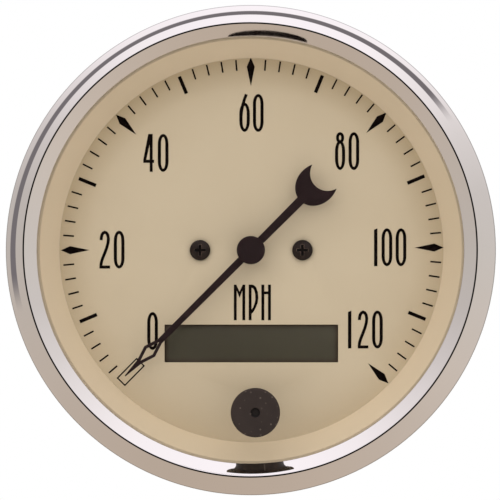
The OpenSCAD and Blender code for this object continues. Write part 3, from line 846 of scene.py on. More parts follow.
CHROME = Finish("chrome", (0.93, 0.925, 0.92), (0.9, 0.9, 0.895), patch_scale=25, smooth=0.012, rough=0.035,
                metallic=1.0, grain_scale=6000, bump=0.004)
CASE_PAINT = Finish("case_paint", (0.052, 0.052, 0.054), (0.036, 0.036, 0.038), patch_scale=45, smooth=0.38,
                    rough=0.55, grain_scale=2600, bump=0.25, worn_colour=(0.28, 0.27, 0.26), wear=0.5)
SEAL_RUBBER = Finish("seal_rubber", (0.018, 0.018, 0.019), (0.03, 0.03, 0.031), patch_scale=120, smooth=0.6,
                     rough=0.8, grain_scale=5000, bump=0.2)
LENS_GLASS = ClearFinish("lens_glass", (1.0, 1.0, 1.0), (1.0, 1.0, 1.0), smooth=0.0, rough=0.008,
                         grain_scale=300)
# The ring's narrow recesses, such as the one under the bezel's lip, are darkened by painted shade.
RING_PLASTIC = Finish("ring_plastic", (0.76, 0.615, 0.43), (0.735, 0.595, 0.41), patch_scale=40, smooth=0.42,
                      rough=0.55, grain_scale=7000, bump=0.1, recess_shade_colour=(0.5, 0.39, 0.26),
                      recess_reach=0.00055)
# The dial's edge is darkened by painted shade, most at the top.
DIAL_PAINT = Finish("dial_paint", (0.6, 0.486, 0.326), (0.58, 0.466, 0.308), patch_scale=55, smooth=0.55,
                    rough=0.68, grain_scale=9000, bump=0.1, rim_shade_colour=(0.33, 0.23, 0.1))
# Painted shade darkens the cross recess.
BLACK_SCREWS = Finish("black_screws", (0.014, 0.0085, 0.0065), (0.026, 0.016, 0.012), patch_scale=900,
                      smooth=0.3, rough=0.45, grain_scale=9000, bump=0.12, specular=0.22,
                      worn_colour=(0.3, 0.19, 0.14), wear=0.9, wear_radius=0.00018,
                      recess_shade_colour=(0.0015, 0.001, 0.001), recess_reach=0.0008, recess_full=0.7)
PLATED_STEEL = Finish("plated_steel", (0.62, 0.61, 0.58), (0.5, 0.5, 0.47), patch_scale=220, smooth=0.22,
                      rough=0.42, metallic=1.0, grain_scale=5000, bump=0.1)
# Painted shade darkens the display's edges inside the window.
DISPLAY = Finish("display", (0.064, 0.056, 0.034), (0.056, 0.048, 0.029), patch_scale=90, smooth=0.3,
                 rough=0.4, grain_scale=9000, bump=0.02, specular=0.3, recess_shade_colour=(0.042, 0.027, 0.016),
                 recess_reach=0.0011)
BLACK_PLASTIC = Finish("black_plastic", (0.02, 0.02, 0.021), (0.03, 0.03, 0.031), patch_scale=150, smooth=0.4,
                       rough=0.6, grain_scale=5000, bump=0.2, worn_colour=(0.09, 0.088, 0.085), wear=0.45)
# Painted shade darkens the dimple.
BUTTON_PLASTIC = Finish("button_plastic", (0.032, 0.02, 0.0155), (0.026, 0.016, 0.0125), patch_scale=260,
                        smooth=0.4, rough=0.55, grain_scale=7000, bump=0.15, specular=0.3,
                        worn_colour=(0.075, 0.06, 0.054), wear=0.5, wear_radius=0.0002,
                        recess_shade_colour=(0.004, 0.0025, 0.002), recess_reach=0.0012, recess_full=0.72,
                        fleck_colour=(0.12, 0.09, 0.07))
BOARD_LAMINATE = Finish("board_laminate", (0.012, 0.13, 0.045), (0.02, 0.2, 0.07), patch_scale=500,
                        smooth=0.3, rough=0.45, grain_scale=3000, bump=0.1)
PALE_PLASTIC = Finish("pale_plastic", (0.66, 0.62, 0.52), (0.6, 0.56, 0.46), patch_scale=120, smooth=0.4,
                      rough=0.55, grain_scale=5000, bump=0.1)
COPPER_WIRE = Finish("copper_wire", (0.62, 0.2, 0.075), (0.5, 0.15, 0.05), patch_scale=300, smooth=0.25,
                     rough=0.4, metallic=1.0, grain_scale=8000, bump=0.3)
BRASS = Finish("brass", (0.7, 0.5, 0.18), (0.6, 0.42, 0.16), patch_scale=200, smooth=0.25, rough=0.4,
               metallic=1.0, grain_scale=5000, bump=0.1)
JEWEL = Finish("jewel", (0.45, 0.012, 0.03), (0.35, 0.01, 0.02), patch_scale=400, smooth=0.05, rough=0.12,
               grain_scale=6000, bump=0.02)
BULB_GLASS = ClearFinish("bulb_glass", (1.0, 0.99, 0.96), (1.0, 0.99, 0.96), smooth=0.0, rough=0.02)
POINTER_BLACK = Finish("pointer_black", (0.017, 0.006, 0.0065), (0.0135, 0.005, 0.0055), patch_scale=200,
                       smooth=0.5, rough=0.65, grain_scale=9000, bump=0.1, specular=0.2)
DIAL_INK = Finish("pointer_black", (0.004, 0.002, 0.0015), (0.006, 0.003, 0.002), patch_scale=700, smooth=0.6,
                  rough=0.75, grain_scale=12000, bump=0.1, specular=0.04, variant="_ink")
MAGNET = Finish("magnet", (0.09, 0.09, 0.095), (0.06, 0.06, 0.065), patch_scale=300, smooth=0.35, rough=0.5,
                metallic=0.8, grain_scale=6000, bump=0.15)


def hand_over(piece: Object, body: Body, finish: Finish, *nodes: str) -> None:
    """Smooths a finished piece, dresses it and hands it to its body.

    Args:
        piece: The piece, in object mode.
        body: The body that it rides on.
        finish: Its finish.
        nodes: The solids that it stands for.
    """
    focus(piece)
    bpy.ops.object.shade_smooth_by_angle(angle=SMOOTH_ANGLE)
    piece.data.materials.clear()
    piece.data.materials.append(finish.material())
    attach(piece, body.value)
    if nodes:
        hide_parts(*nodes)
    LOG.info("%s: %d faces, on %s", piece.name, len(piece.data.polygons), body.value)


@dataclass
class Bezel:
    """Chrome ring: hem behind the panel seat, outer roll, rounded crest and inner bevel down to the lip."""

    edge_r: float = 46.5
    wall: float = 0.8
    roll_r: float = 5.5
    roll_z: float = 3.739
    crest_ease: float = 1.1
    bevel_angle: float = 38.8
    lip_r: float = 40.45
    lip_z: float = 7.062
    lip_under_z: float = 6.017
    lip_ease: float = SLIGHT
    hem_r: float = 44.05
    hem_bend_r: float = 1.1
    fold_steps: tuple[int, int] = (8, 5)
    roll_steps: int = 28
    crest_steps: int = 14
    turn_steps: int = 256

    def on_bevel(self, start: Point, reach: float) -> Point:
        """Where a line up the bevel's slope is at a distance from the roll's centre.

        Args:
            start: A point of the line.
            reach: The distance from the roll's centre.

        Returns:
            The point, as (radius, z).
        """
        tilt = math.radians(self.bevel_angle)
        slope = Vector((math.cos(tilt), math.sin(tilt)))
        offset = Vector(start) - Vector((self.edge_r - self.roll_r, self.roll_z))
        along = offset.dot(slope)
        travel = -along + math.sqrt(along ** 2 - offset.length_squared + reach ** 2)
        return tuple(Vector(start) + slope * travel)

    def section(self) -> list[Point]:
        """Half section of the folded sheet, from the lip over the crest and back.

        Returns:
            Its points, as (radius, z).
        """
        centre = (self.edge_r - self.roll_r, self.roll_z)
        tilt = 90 + self.bevel_angle
        down = [self.crest_ease * part(math.radians(tilt)) for part in (math.cos, math.sin)]
        ease_c = self.on_bevel((self.lip_r - down[0], self.lip_z - down[1]), self.roll_r - self.crest_ease)
        meet = math.degrees(math.atan2(ease_c[1] - centre[1], ease_c[0] - centre[0]))
        under = self.on_bevel((self.lip_r, self.lip_under_z), self.roll_r - self.wall)
        under_angle = math.degrees(math.atan2(under[1] - centre[1], under[0] - centre[0]))
        fold_c = (self.edge_r - self.hem_bend_r, self.hem_bend_r)
        outer = arc(ease_c, self.crest_ease, tilt, meet, self.crest_steps)
        outer += arc(centre, self.roll_r, meet, 0, self.roll_steps)[1:]
        outer += arc(fold_c, self.hem_bend_r, 0, -90, self.fold_steps[0])
        inner = arc(fold_c, self.hem_bend_r - self.wall, -90, 0, self.fold_steps[1])
        inner += arc(centre, self.roll_r - self.wall, 0, under_angle, self.roll_steps)
        corners = [(self.lip_r, self.lip_z, self.lip_ease)] + [(*p, 0) for p in outer]
        corners += [(self.hem_r, 0, self.lip_ease), (self.hem_r, self.wall, self.lip_ease)]
        corners += [(*p, 0) for p in inner] + [(self.lip_r, self.lip_under_z, self.lip_ease)]
        return eased(corners)

    def build(self) -> None:
        """Turns the ring and hands it over."""
        ring = turned("bezel", self.section(), closed=True, steps=self.turn_steps)
        hand_over(ring, Body.CASE, CHROME, "bezel_ring")


@dataclass
class Housing:
    """Drawn case cup with its rear openings, lens gasket and lens."""

    case_r: float = 42.65
    wall: float = 0.9
    back_z: float = -50.0
    corner_r: float = 5.0
    corner_steps: int = 10
    flange_r: float = 45.362
    flange_z: float = 0.8
    stud_hole_r: float = 2.6
    rivet_hole_r: float = 1.6
    terminal_hole: Point = (27.8, 9.35)
    lamp_hole_r: float = 6.35
    notch_r: float = 8.25
    notch_w: float = 4.2
    gasket_r: float = 45.462
    gasket_wall: float = 0.8
    gasket_top_z: float = 4.867
    lens_r: float = 44.562
    lens_ease: float = 0.25
    button_hole_r: float = 3.17
    past: float = 0.5

    def case_cup(self) -> None:
        """Turns the cup and cuts the openings for studs, rivets, terminals and lamp."""
        inside, front = self.case_r - self.wall, self.flange_z + self.wall
        floor = self.back_z + self.wall
        cup = lathe("case", [
            (0, self.back_z, 0), (self.case_r, self.back_z, self.corner_r),
            (self.case_r, self.flange_z, ROUND), (self.flange_r, self.flange_z, SLIGHT),
            (self.flange_r, front, SLIGHT), (inside, front, self.wall),
            (inside, floor, self.corner_r - self.wall), (0, floor, 0),
        ], steps=RING_TURN, bend_steps=self.corner_steps)
        back, front = self.back_z - self.past, floor + self.past
        holes = [((side * STUD_X, 0), self.stud_hole_r) for side in (-1, 1)]
        holes += [((side * RIVET_X, TERMINAL_Y), self.rivet_hole_r) for side in (-1, 1)]
        holes.append((LAMP_AT, self.lamp_hole_r))
        for centre, radius in holes:
            carve(cup, plate("drill", [circle(centre, radius)], back, front))
        carve(cup, block("slot", (0, TERMINAL_Y), self.terminal_hole, back, front))
        notch = block("notch", LAMP_AT, (2 * self.notch_r, self.notch_w), back, front)
        carve(notch, plate("trim", [circle(LAMP_AT, self.notch_r)], back, front), Carve.TRIM)
        carve(cup, notch)
        hand_over(cup, Body.CASE, CASE_PAINT, "case_cup")

    def gasket(self) -> None:
        """Turns the rubber seal, an angle that holds the lens on the case flange."""
        front, inner = self.flange_z + self.wall, self.gasket_r - self.gasket_wall
        seal = lathe("gasket", [
            (self.case_r, front, FINE), (self.gasket_r, front, FINE),
            (self.gasket_r, self.gasket_top_z, SOFT), (inner, self.gasket_top_z, SOFT),
            (inner, LENS_BACK_Z, HAIR), (self.case_r, LENS_BACK_Z, SOFT),
        ], ring=True, steps=RING_TURN)
        hand_over(seal, Body.CASE, SEAL_RUBBER, "lens_gasket")

    def lens(self) -> None:
        """Turns the lens with ground edges and drills it for the button."""
        disc = lathe("front_glass", [
            (0, LENS_BACK_Z, 0), (self.lens_r, LENS_BACK_Z, self.lens_ease),
            (self.lens_r, LENS_FRONT_Z, self.lens_ease), (0, LENS_FRONT_Z, 0),
        ], steps=RING_TURN)
        carve(disc, plate("drill", [circle(BUTTON_AT, self.button_hole_r)],
                          LENS_BACK_Z - self.past, LENS_FRONT_Z + self.past))
        hand_over(disc, Body.CASE, LENS_GLASS, "lens")

    def build(self) -> None:
        """Builds the housing's pieces."""
        self.case_cup()
        self.gasket()
        self.lens()


def strip(start: float, end: float, width: float) -> list[Point]:
    """Outline of a rectangle along the x axis."""
    return [(start, -width / 2), (end, -width / 2), (end, width / 2), (start, width / 2)]


@dataclass
class Dial:
    """Dial plate with its window and holes, the funnel ring round it, its screws and the display."""

    thickness: float = 0.8
    radius: float = 38.55
    turn_steps: int = 160
    bore_r: float = 2.2
    screw_x: float = 9.74
    screw_hole_r: float = 1.1
    button_hole_r: float = 2.8
    window: Point = (33.0, 7.15)
    window_y: float = -17.75
    window_ease: float = 0.12
    glass_margin: float = 2.2
    glass_t: float = 2.8
    ring_r: float = 41.45
    ring_foot_r: float = 36.5
    ring_nose_r: float = 0.5
    ring_nose_steps: int = 16
    ring_land: float = 0.9
    head_r: float = 1.95
    head_h: float = 1.3
    crown_steps: int = 12
    shank_r: float = 1.0
    shank_z: float = -17.433
    recess: Point = (2.145, 0.546)
    recess_depth: float = 0.78

    def funnel_ring(self) -> None:
        """Turns the ring: foot on the dial, sloping face and rounded front edge under the lens."""
        nose = (self.ring_r - self.ring_land, LENS_BACK_Z - self.ring_nose_r)
        run, rise = nose[0] - self.ring_foot_r, nose[1] - DIAL_Z
        slope = math.degrees(math.atan2(rise, run) + math.asin(self.ring_nose_r / math.hypot(run, rise)))
        corners = [(self.ring_foot_r, DIAL_Z, 0), (self.ring_r, DIAL_Z, FINE),
                   (self.ring_r, LENS_BACK_Z, SOFT)]
        corners += [(*p, 0) for p in arc(nose, self.ring_nose_r, 90, 90 + slope, self.ring_nose_steps)]
        ring = lathe("funnel_ring", corners, ring=True, steps=RING_TURN)
        hand_over(ring, Body.CASE, RING_PLASTIC, "dial_ring")

    def face(self) -> None:
        """Cuts the dial plate with its window and holes."""
        width, height = self.window
        window = [(x, self.window_y + y) for x, y in strip(-width / 2, width / 2, height)]
        holes = [circle((side * self.screw_x, 0), self.screw_hole_r, HOLE_TURN) for side in (-1, 1)]
        outline = circle((0, 0), self.radius, self.turn_steps)
        bore = circle((0, 0), self.bore_r, BORE_TURN)
        button_hole = circle(BUTTON_AT, self.button_hole_r, BORE_TURN)
        loops = [outline, bore, *holes, button_hole, window]
        face = plate("dial_face", loops, DIAL_Z - self.thickness, DIAL_Z)
        ease_edges(face, self.window_ease)
        hand_over(face, Body.CASE, DIAL_PAINT, "dial_plate")

    def screws(self) -> None:
        """Turns one pan-head screw, cuts its cross recess and copies it to the other side."""
        at = (-self.screw_x, 0)
        crown_r = (self.head_r ** 2 + (self.head_h / 2) ** 2) / self.head_h
        top = DIAL_Z + self.head_h
        reach = math.degrees(math.asin(self.head_r / crown_r))
        crown = arc((0, top - crown_r), crown_r, 90, 90 - reach, self.crown_steps)
        corners = [(*p, 0) for p in crown[:-1]] + [(*crown[-1], SOFT), (self.head_r, DIAL_Z, HAIR)]
        corners += [(self.shank_r, DIAL_Z, 0), (self.shank_r, self.shank_z, SOFT), (0, self.shank_z, 0)]
        screw = lathe("dial_screw_pair", corners, centre=at, steps=SMALL_TURN)
        for size in (self.recess, self.recess[::-1]):
            carve(screw, block("cross", at, size, top - self.recess_depth, top + self.head_h))
        ease_edges(screw, HAIR)
        hand_over(paired(screw, self.screw_x), Body.CASE, BLACK_SCREWS, "dial_screws")

    def display(self) -> None:
        """Shapes the display glass behind the window."""
        size = tuple(2 * (side / 2 + self.glass_margin) for side in self.window)
        front = DIAL_Z - self.thickness
        glass = block("display_glass", (0, self.window_y), size, front - self.glass_t, front)
        ease_edges(glass, SLIGHT)
        hand_over(glass, Body.CASE, DISPLAY, "lcd_glass")

    def build(self) -> None:
        """Builds the dial's pieces."""
        self.funnel_ring()
        self.face()
        self.screws()
        self.display()


def fan_out(piece: Object, count: int, step: float, centre: Point) -> Object:
    """Copies a piece's mesh clockwise round an axis, within the piece.

    Args:
        piece: The piece to repeat.
        count: How many there are in the end.
        step: Angle between neighbours, in degrees.
        centre: Where the axis stands, as (x, y).

    Returns:
        The same piece, in object mode.
    """
    focus(piece)
    bpy.ops.object.mode_set(mode="EDIT")
    bpy.ops.mesh.select_all(action="SELECT")
    bpy.ops.mesh.spin(steps=count - 1, angle=-math.radians(step) * (count - 1), dupli=True,
                      center=place(*centre, 0), axis=(0, 1, 0))
    return close_piece(piece)


def turned_about(points: Sequence[Point], degrees: float, centre: Point = (0.0, 0.0)) -> list[Point]:
    """Points turned anticlockwise about the axis, which then goes to a centre."""
    c, s = math.cos(math.radians(degrees)), math.sin(math.radians(degrees))
    return [(centre[0] + x * c - y * s, centre[1] + x * s + y * c) for x, y in points]


def ribbon(path: Sequence[Point], width: float) -> list[Point]:
    """Outline of a pen stroke of even width with square ends and mitred bends.

    Args:
        path: Points of the stroke's middle.
        width: Width of the stroke.

    Returns:
        The closed outline.
    """
    left, right = [], []
    for i, here in enumerate(path):
        before = Vector(path[max(i - 1, 0)])
        after = Vector(path[min(i + 1, len(path) - 1)])
        into = (Vector(here) - before).normalized() if i else (after - Vector(here)).normalized()
        out = (after - Vector(here)).normalized() if i < len(path) - 1 else into
        along = (into + out).normalized()
        reach = width / 2 / max(along.dot(into), MITRE_LIMIT)
        side = Vector((-along.y, along.x)) * reach
        left.append(tuple(Vector(here) + side))
        right.append(tuple(Vector(here) - side))
    return left + right[::-1]


def tall_oval(centre_x: float, low: float, high: float, half_w: float, cap: float,
              steps: int = 14) -> list[Point]:
    """Outline of a tall oval: straight sides between two half ellipses.

    Args:
        centre_x: Middle of its width.
        low: Its lowest height.
        high: Its greatest height.
        half_w: Half of its width.
        cap: Height of each half ellipse.
        steps: Steps of each half ellipse.

    Returns:
        The closed outline.
    """
    turns = [math.pi * i / steps for i in range(steps + 1)]
    top = [(centre_x + half_w * math.cos(t), high - cap + cap * math.sin(t)) for t in turns]
    bottom = [(centre_x - half_w * math.cos(t), low + cap - cap * math.sin(t)) for t in turns]
    return top + bottom


@dataclass
class DialPrint:
    """Black print on the dial: scale, condensed figures and the unit.

    The figures are drawn on a grid of small units, with their foot at 0 and their left side at 0.
    """

    sink: float = 0.01
    proud: float = 0.03
    unit: float = 0.1909
    zero_angle: float = 225.4
    scale_centre: Point = (0.15, 0.25)
    tick: Triple = (33.98, 36.05, 0.31)
    bar: Triple = (32.07, 35.6, 0.67)
    kite: tuple[float, float, float, float] = (30.93, 34.65, 36.42, 1.53)
    box: tuple[float, float, float, float] = (30.16, 35.6, 2.22, 0.25)
    minor_step: float = 4.5
    minor_count: int = 4
    bar_step: float = 45.0
    bar_count: int = 6
    figure_h: float = 37.7
    pen: float = 3.0
    WIDTHS: ClassVar[dict[str, float]] = {"0": 10.7, "1": 3.4, "2": 10.6, "4": 10.8, "6": 10.5, "8": 10.2}
    GAPS: ClassVar[dict[str, float]] = {
        "60": 3.0, "80": 3.3, "20": 3.7, "40": 3.7, "10": 4.1, "00": 3.3, "12": 6.3}
    FIGURES: ClassVar[dict[str, Point]] = {
        "0": (-98.4, -80.5), "20": (-138.9, 0.6), "40": (-95.1, 97.0), "60": (0.2, 136.8),
        "80": (95.5, 98.7), "100": (138.4, 2.9), "120": (113.7, -79.0)}
    LETTERS: ClassVar[dict[str, Point]] = {"M": (-17.4, -69.8), "P": (-2.6, -69.8), "H": (10.1, -69.8)}

    def printed(self, name: str, loops: Sequence[Sequence[Point]]) -> Object:
        """A film of ink on the dial, from its outlines."""
        return plate(name, loops, DIAL_Z - self.sink, DIAL_Z + self.proud)

    def figure(self, sign: str) -> list[list[list[Point]]]:
        """Outlines of a figure or letter.

        Args:
            sign: The figure or letter.

        Returns:
            Its strokes, each a list of an outline and its openings.
        """
        h = self.figure_h
        hook = [(1.7, 28.3), (1.85, 31.0), (2.5, 33.6), (3.8, 35.5), (5.4, 36.2), (7.0, 35.5), (8.3, 33.4),
                (9.0, 29.8), (8.6, 25.6), (7.2, 20.4), (5.1, 14.9), (3.0, 9.7), (1.9, 6.0), (1.5, 3.2),
                (1.5, 1.5), (10.6, 1.5)]
        sweep = [(7.0, 37.4), (5.3, 33.0), (3.5, 27.0), (2.2, 20.5), (1.6, 14.5), (1.5, 11.0)]
        signs = {
            "0": [[tall_oval(5.35, 0, h, 5.35, 10), tall_oval(5.35, 3.1, h - 3.1, 2.15, 7.0)]],
            "1": [[[(0, 0), (3.4, 0), (3.4, h), (0, h - 1.4)]]],
            "2": [[ribbon(hook, self.pen)]],
            "4": [[[(0, 8.9), (6.4, 8.9), (6.4, 0), (9.4, 0), (9.4, 8.9), (10.8, 8.9), (10.8, 12), (9.4, 12),
                    (9.4, h), (5.0, h), (0, 12)], [(3.0, 12), (6.4, 12), (6.4, 27.3)]]],
            "6": [[tall_oval(5.25, 0, 29, 5.25, 11), tall_oval(5.25, 3.1, 25.9, 2.05, 8.0)],
                  [ribbon(sweep, self.pen)]],
            "8": [[tall_oval(5.1, 0, 29.6, 5.1, 11.5), tall_oval(5.1, 3.1, 26.2, 1.85, 8.2)],
                  [tall_oval(5.1, 26.6, h, 4.05, 5.3), tall_oval(5.1, 29.8, 34.6, 1.05, 2.3)]],
            "M": [[[(0, 0), (2.9, 0), (2.9, 29.5), (5.7, 22.4), (8.5, 29.5), (8.5, 0), (11.4, 0),
                    (11.4, 35.5), (8.9, 35.5), (5.7, 28.4), (2.5, 35.5), (0, 35.5)]]],
            "P": [[[(0, 0), (2.9, 0), (2.9, 6.4), (4.7, 8.2), (7.0, 12.2), (8.9, 17), (9.7, 22), (9.2, 28),
                    (7.5, 32.8), (5.2, 35), (3.6, 35.5), (0, 35.5)],
                   [(2.9, 10.6), (4.5, 12.9), (6.0, 17), (6.7, 21), (6.5, 26), (5.5, 30.2), (4.2, 32),
                    (2.9, 32.3)]]],
            "H": [[[(0, 0), (2.9, 0), (2.9, 25.9), (6.6, 25.9), (6.6, 0), (9.5, 0), (9.5, 35.5), (6.6, 35.5),
                    (6.6, 28.7), (2.9, 28.7), (2.9, 35.5), (0, 35.5)]]],
        }
        return signs[sign]

    def sign(self, sign: str, places: Sequence[Point]) -> Object:
        """Draws a figure or letter once and copies it to its other places.

        Args:
            sign: The figure or letter.
            places: Where its lower left corner goes each time, in grid units from the hub.

        Returns:
            The ink of all the copies.
        """
        first_x, first_y = places[0]
        strokes = [[[((x + first_x) * self.unit, (y + first_y) * self.unit) for x, y in loop]
                    for loop in stroke] for stroke in self.figure(sign)]
        ink = self.printed("ink_" + sign, strokes[0])
        for stroke in strokes[1:]:
            carve(ink, self.printed("stroke", stroke), Carve.WELD)
        steps = [((x - first_x) * self.unit, (y - first_y) * self.unit) for x, y in places[1:]]
        return repeat_at(ink, steps)

    def figures(self) -> None:
        """Sets the numbers round the dial and the unit under the hub."""
        places: dict[str, list[Point]] = {}
        for number, (x, y) in self.FIGURES.items():
            pairs = [number[i:i + 2] for i in range(len(number) - 1)]
            x -= (sum(self.WIDTHS[d] for d in number) + sum(self.GAPS[p] for p in pairs)) / 2
            for i, digit in enumerate(number):
                places.setdefault(digit, []).append((x, y - self.figure_h / 2))
                x += self.WIDTHS[digit] + (self.GAPS[pairs[i]] if i < len(pairs) else 0)
        numbers = join([self.sign(digit, spots) for digit, spots in places.items()])
        numbers.name = "numerals"
        hand_over(numbers, Body.CASE, DIAL_INK)
        letters = join([self.sign(letter, [spot]) for letter, spot in self.LETTERS.items()])
        letters.name = "unit_letters"
        hand_over(letters, Body.CASE, DIAL_INK)

    def scale(self) -> None:
        """Prints the ticks, bars, kites and the zero box."""
        centre = self.scale_centre
        half_step = self.bar_step / 2
        line = turned_about(strip(*self.tick), self.zero_angle - self.minor_step, centre)
        ticks = fan_out(self.printed("scale_ticks", [line]), self.minor_count, self.minor_step, centre)
        hand_over(fan_out(ticks, 2 * self.bar_count, half_step, centre), Body.CASE, DIAL_INK)
        line = turned_about(strip(*self.bar), self.zero_angle - half_step, centre)
        bars = self.printed("scale_bars", [line])
        hand_over(fan_out(bars, self.bar_count, self.bar_step, centre), Body.CASE, DIAL_INK)
        start, middle, end, width = self.kite
        line = [(start, 0), (middle, -width / 2), (end, 0), (middle, width / 2)]
        kites = self.printed("scale_kites", [turned_about(line, self.zero_angle - self.bar_step, centre)])
        hand_over(fan_out(kites, self.bar_count, self.bar_step, centre), Body.CASE, DIAL_INK)
        start, end, width, line_w = self.box
        frames = [strip(start + d, end - d, width - 2 * d) for d in (0, line_w)]
        zero = self.printed("zero_box", [turned_about(loop, self.zero_angle, centre) for loop in frames])
        hand_over(zero, Body.CASE, DIAL_INK)

    def build(self) -> None:
        """Prints the dial."""
        self.scale()
        self.figures()


@dataclass
class Pointer:
    """Pierced spear with a crescent tail, drawn along +x and turned to zero, and the cap over its spindle."""

    zero_angle: float = 225.0
    back_z: float = -0.033
    thickness: float = 0.5
    tip: Point = (33.85, 0.1)
    spear_half_w: float = 0.52
    lozenge_end: float = 31.65
    lozenge: Point = (8.9, 2.86)
    strut: float = 0.6
    stem_half_w: Point = (0.83, 0.55)
    hub_disc_r: float = 2.39
    bore_r: float = 1.32
    tail: float = -17.62
    oval: Point = (4.38, 3.72)
    cut_r: float = 3.34
    cut_shift: float = 3.0
    disc_steps: int = 14
    oval_steps: int = 32
    cut_steps: int = 20
    ease: float = 0.07
    ease_angle: float = 50.0
    hub_r: float = 2.69
    hub_top_z: float = 1.867
    hub_ease: float = ROUND
    boss_r: float = 1.3
    boss_z: float = -1.433
    spindle_r: float = 0.62
    spindle_top_z: float = 1.167

    def upper_edge(self) -> list[Point]:
        """Upper edge of the outline, from the tip to the middle of the crescent's hollow.

        Returns:
            Its points.
        """
        length, width = self.lozenge
        wide, narrow = self.stem_half_w
        half_l, half_w = self.oval
        spear_x = self.lozenge_end - self.spear_half_w * length / width
        stem_x = self.lozenge_end - length + narrow * length / width
        root = math.asin(wide / half_w)
        taper = (wide - narrow) / (stem_x - self.tail - half_l * math.cos(root))
        near, far = (math.asin((narrow + taper * (stem_x - x)) / self.hub_disc_r)
                     for x in (self.hub_disc_r, -self.hub_disc_r))
        edge = [self.tip, (spear_x, self.spear_half_w), (self.lozenge_end - length / 2, width / 2),
                (stem_x, narrow)]
        edge += arc((0, 0), self.hub_disc_r, math.degrees(near), 180 - math.degrees(far), self.disc_steps)
        square, linear = half_l ** 2 - half_w ** 2, half_l * self.cut_shift
        rest = self.cut_shift ** 2 + half_w ** 2 - self.cut_r ** 2
        horn = math.acos((math.sqrt(linear ** 2 - square * rest) - linear) / square)
        turns = [root + (horn - root) * i / self.oval_steps for i in range(self.oval_steps + 1)]
        edge += [(self.tail + half_l * math.cos(t), half_w * math.sin(t)) for t in turns]
        hollow = math.degrees(math.atan2(half_w * math.sin(horn), half_l * math.cos(horn) + self.cut_shift))
        return edge + arc((self.tail - self.cut_shift, 0), self.cut_r, hollow, 0, self.cut_steps)[1:]

    def blade(self) -> None:
        """Cuts the blade from its outline, pierces it and softens its edges."""
        upper = self.upper_edge()
        outline = upper + [(x, -y) for x, y in upper[-2::-1]]
        length, width = self.lozenge
        side = math.hypot(length, width)
        half_l, half_w = length / 2 - self.strut * side / width, width / 2 - self.strut * side / length
        middle = self.lozenge_end - length / 2
        opening = [(middle - half_l, 0), (middle, -half_w), (middle + half_l, 0), (middle, half_w)]
        loops = (outline, opening, circle((0, 0), self.bore_r, HOLE_TURN))
        blade = plate("pointer", [turned_about(loop, self.zero_angle) for loop in loops], self.back_z,
                      self.back_z + self.thickness)
        ease_edges(blade, self.ease, angle=self.ease_angle)
        hand_over(blade, Body.POINTER, POINTER_BLACK, "pointer_blade")

    def hub(self) -> None:
        """Turns the cap with its boss and spindle hole."""
        base = self.back_z + self.thickness
        cap = lathe("pointer_cap", [
            (0, self.spindle_top_z, 0), (self.spindle_r, self.spindle_top_z, 0),
            (self.spindle_r, self.boss_z, FINE), (self.boss_r, self.boss_z, FINE), (self.boss_r, base, 0),
            (self.hub_r, base, FINE), (self.hub_r, self.hub_top_z, self.hub_ease), (0, self.hub_top_z, 0),
        ], steps=CAP_TURN)
        hand_over(cap, Body.POINTER, POINTER_BLACK, "pointer_hub")

    def build(self) -> None:
        """Builds the pointer's pieces."""
        self.blade()
        self.hub()


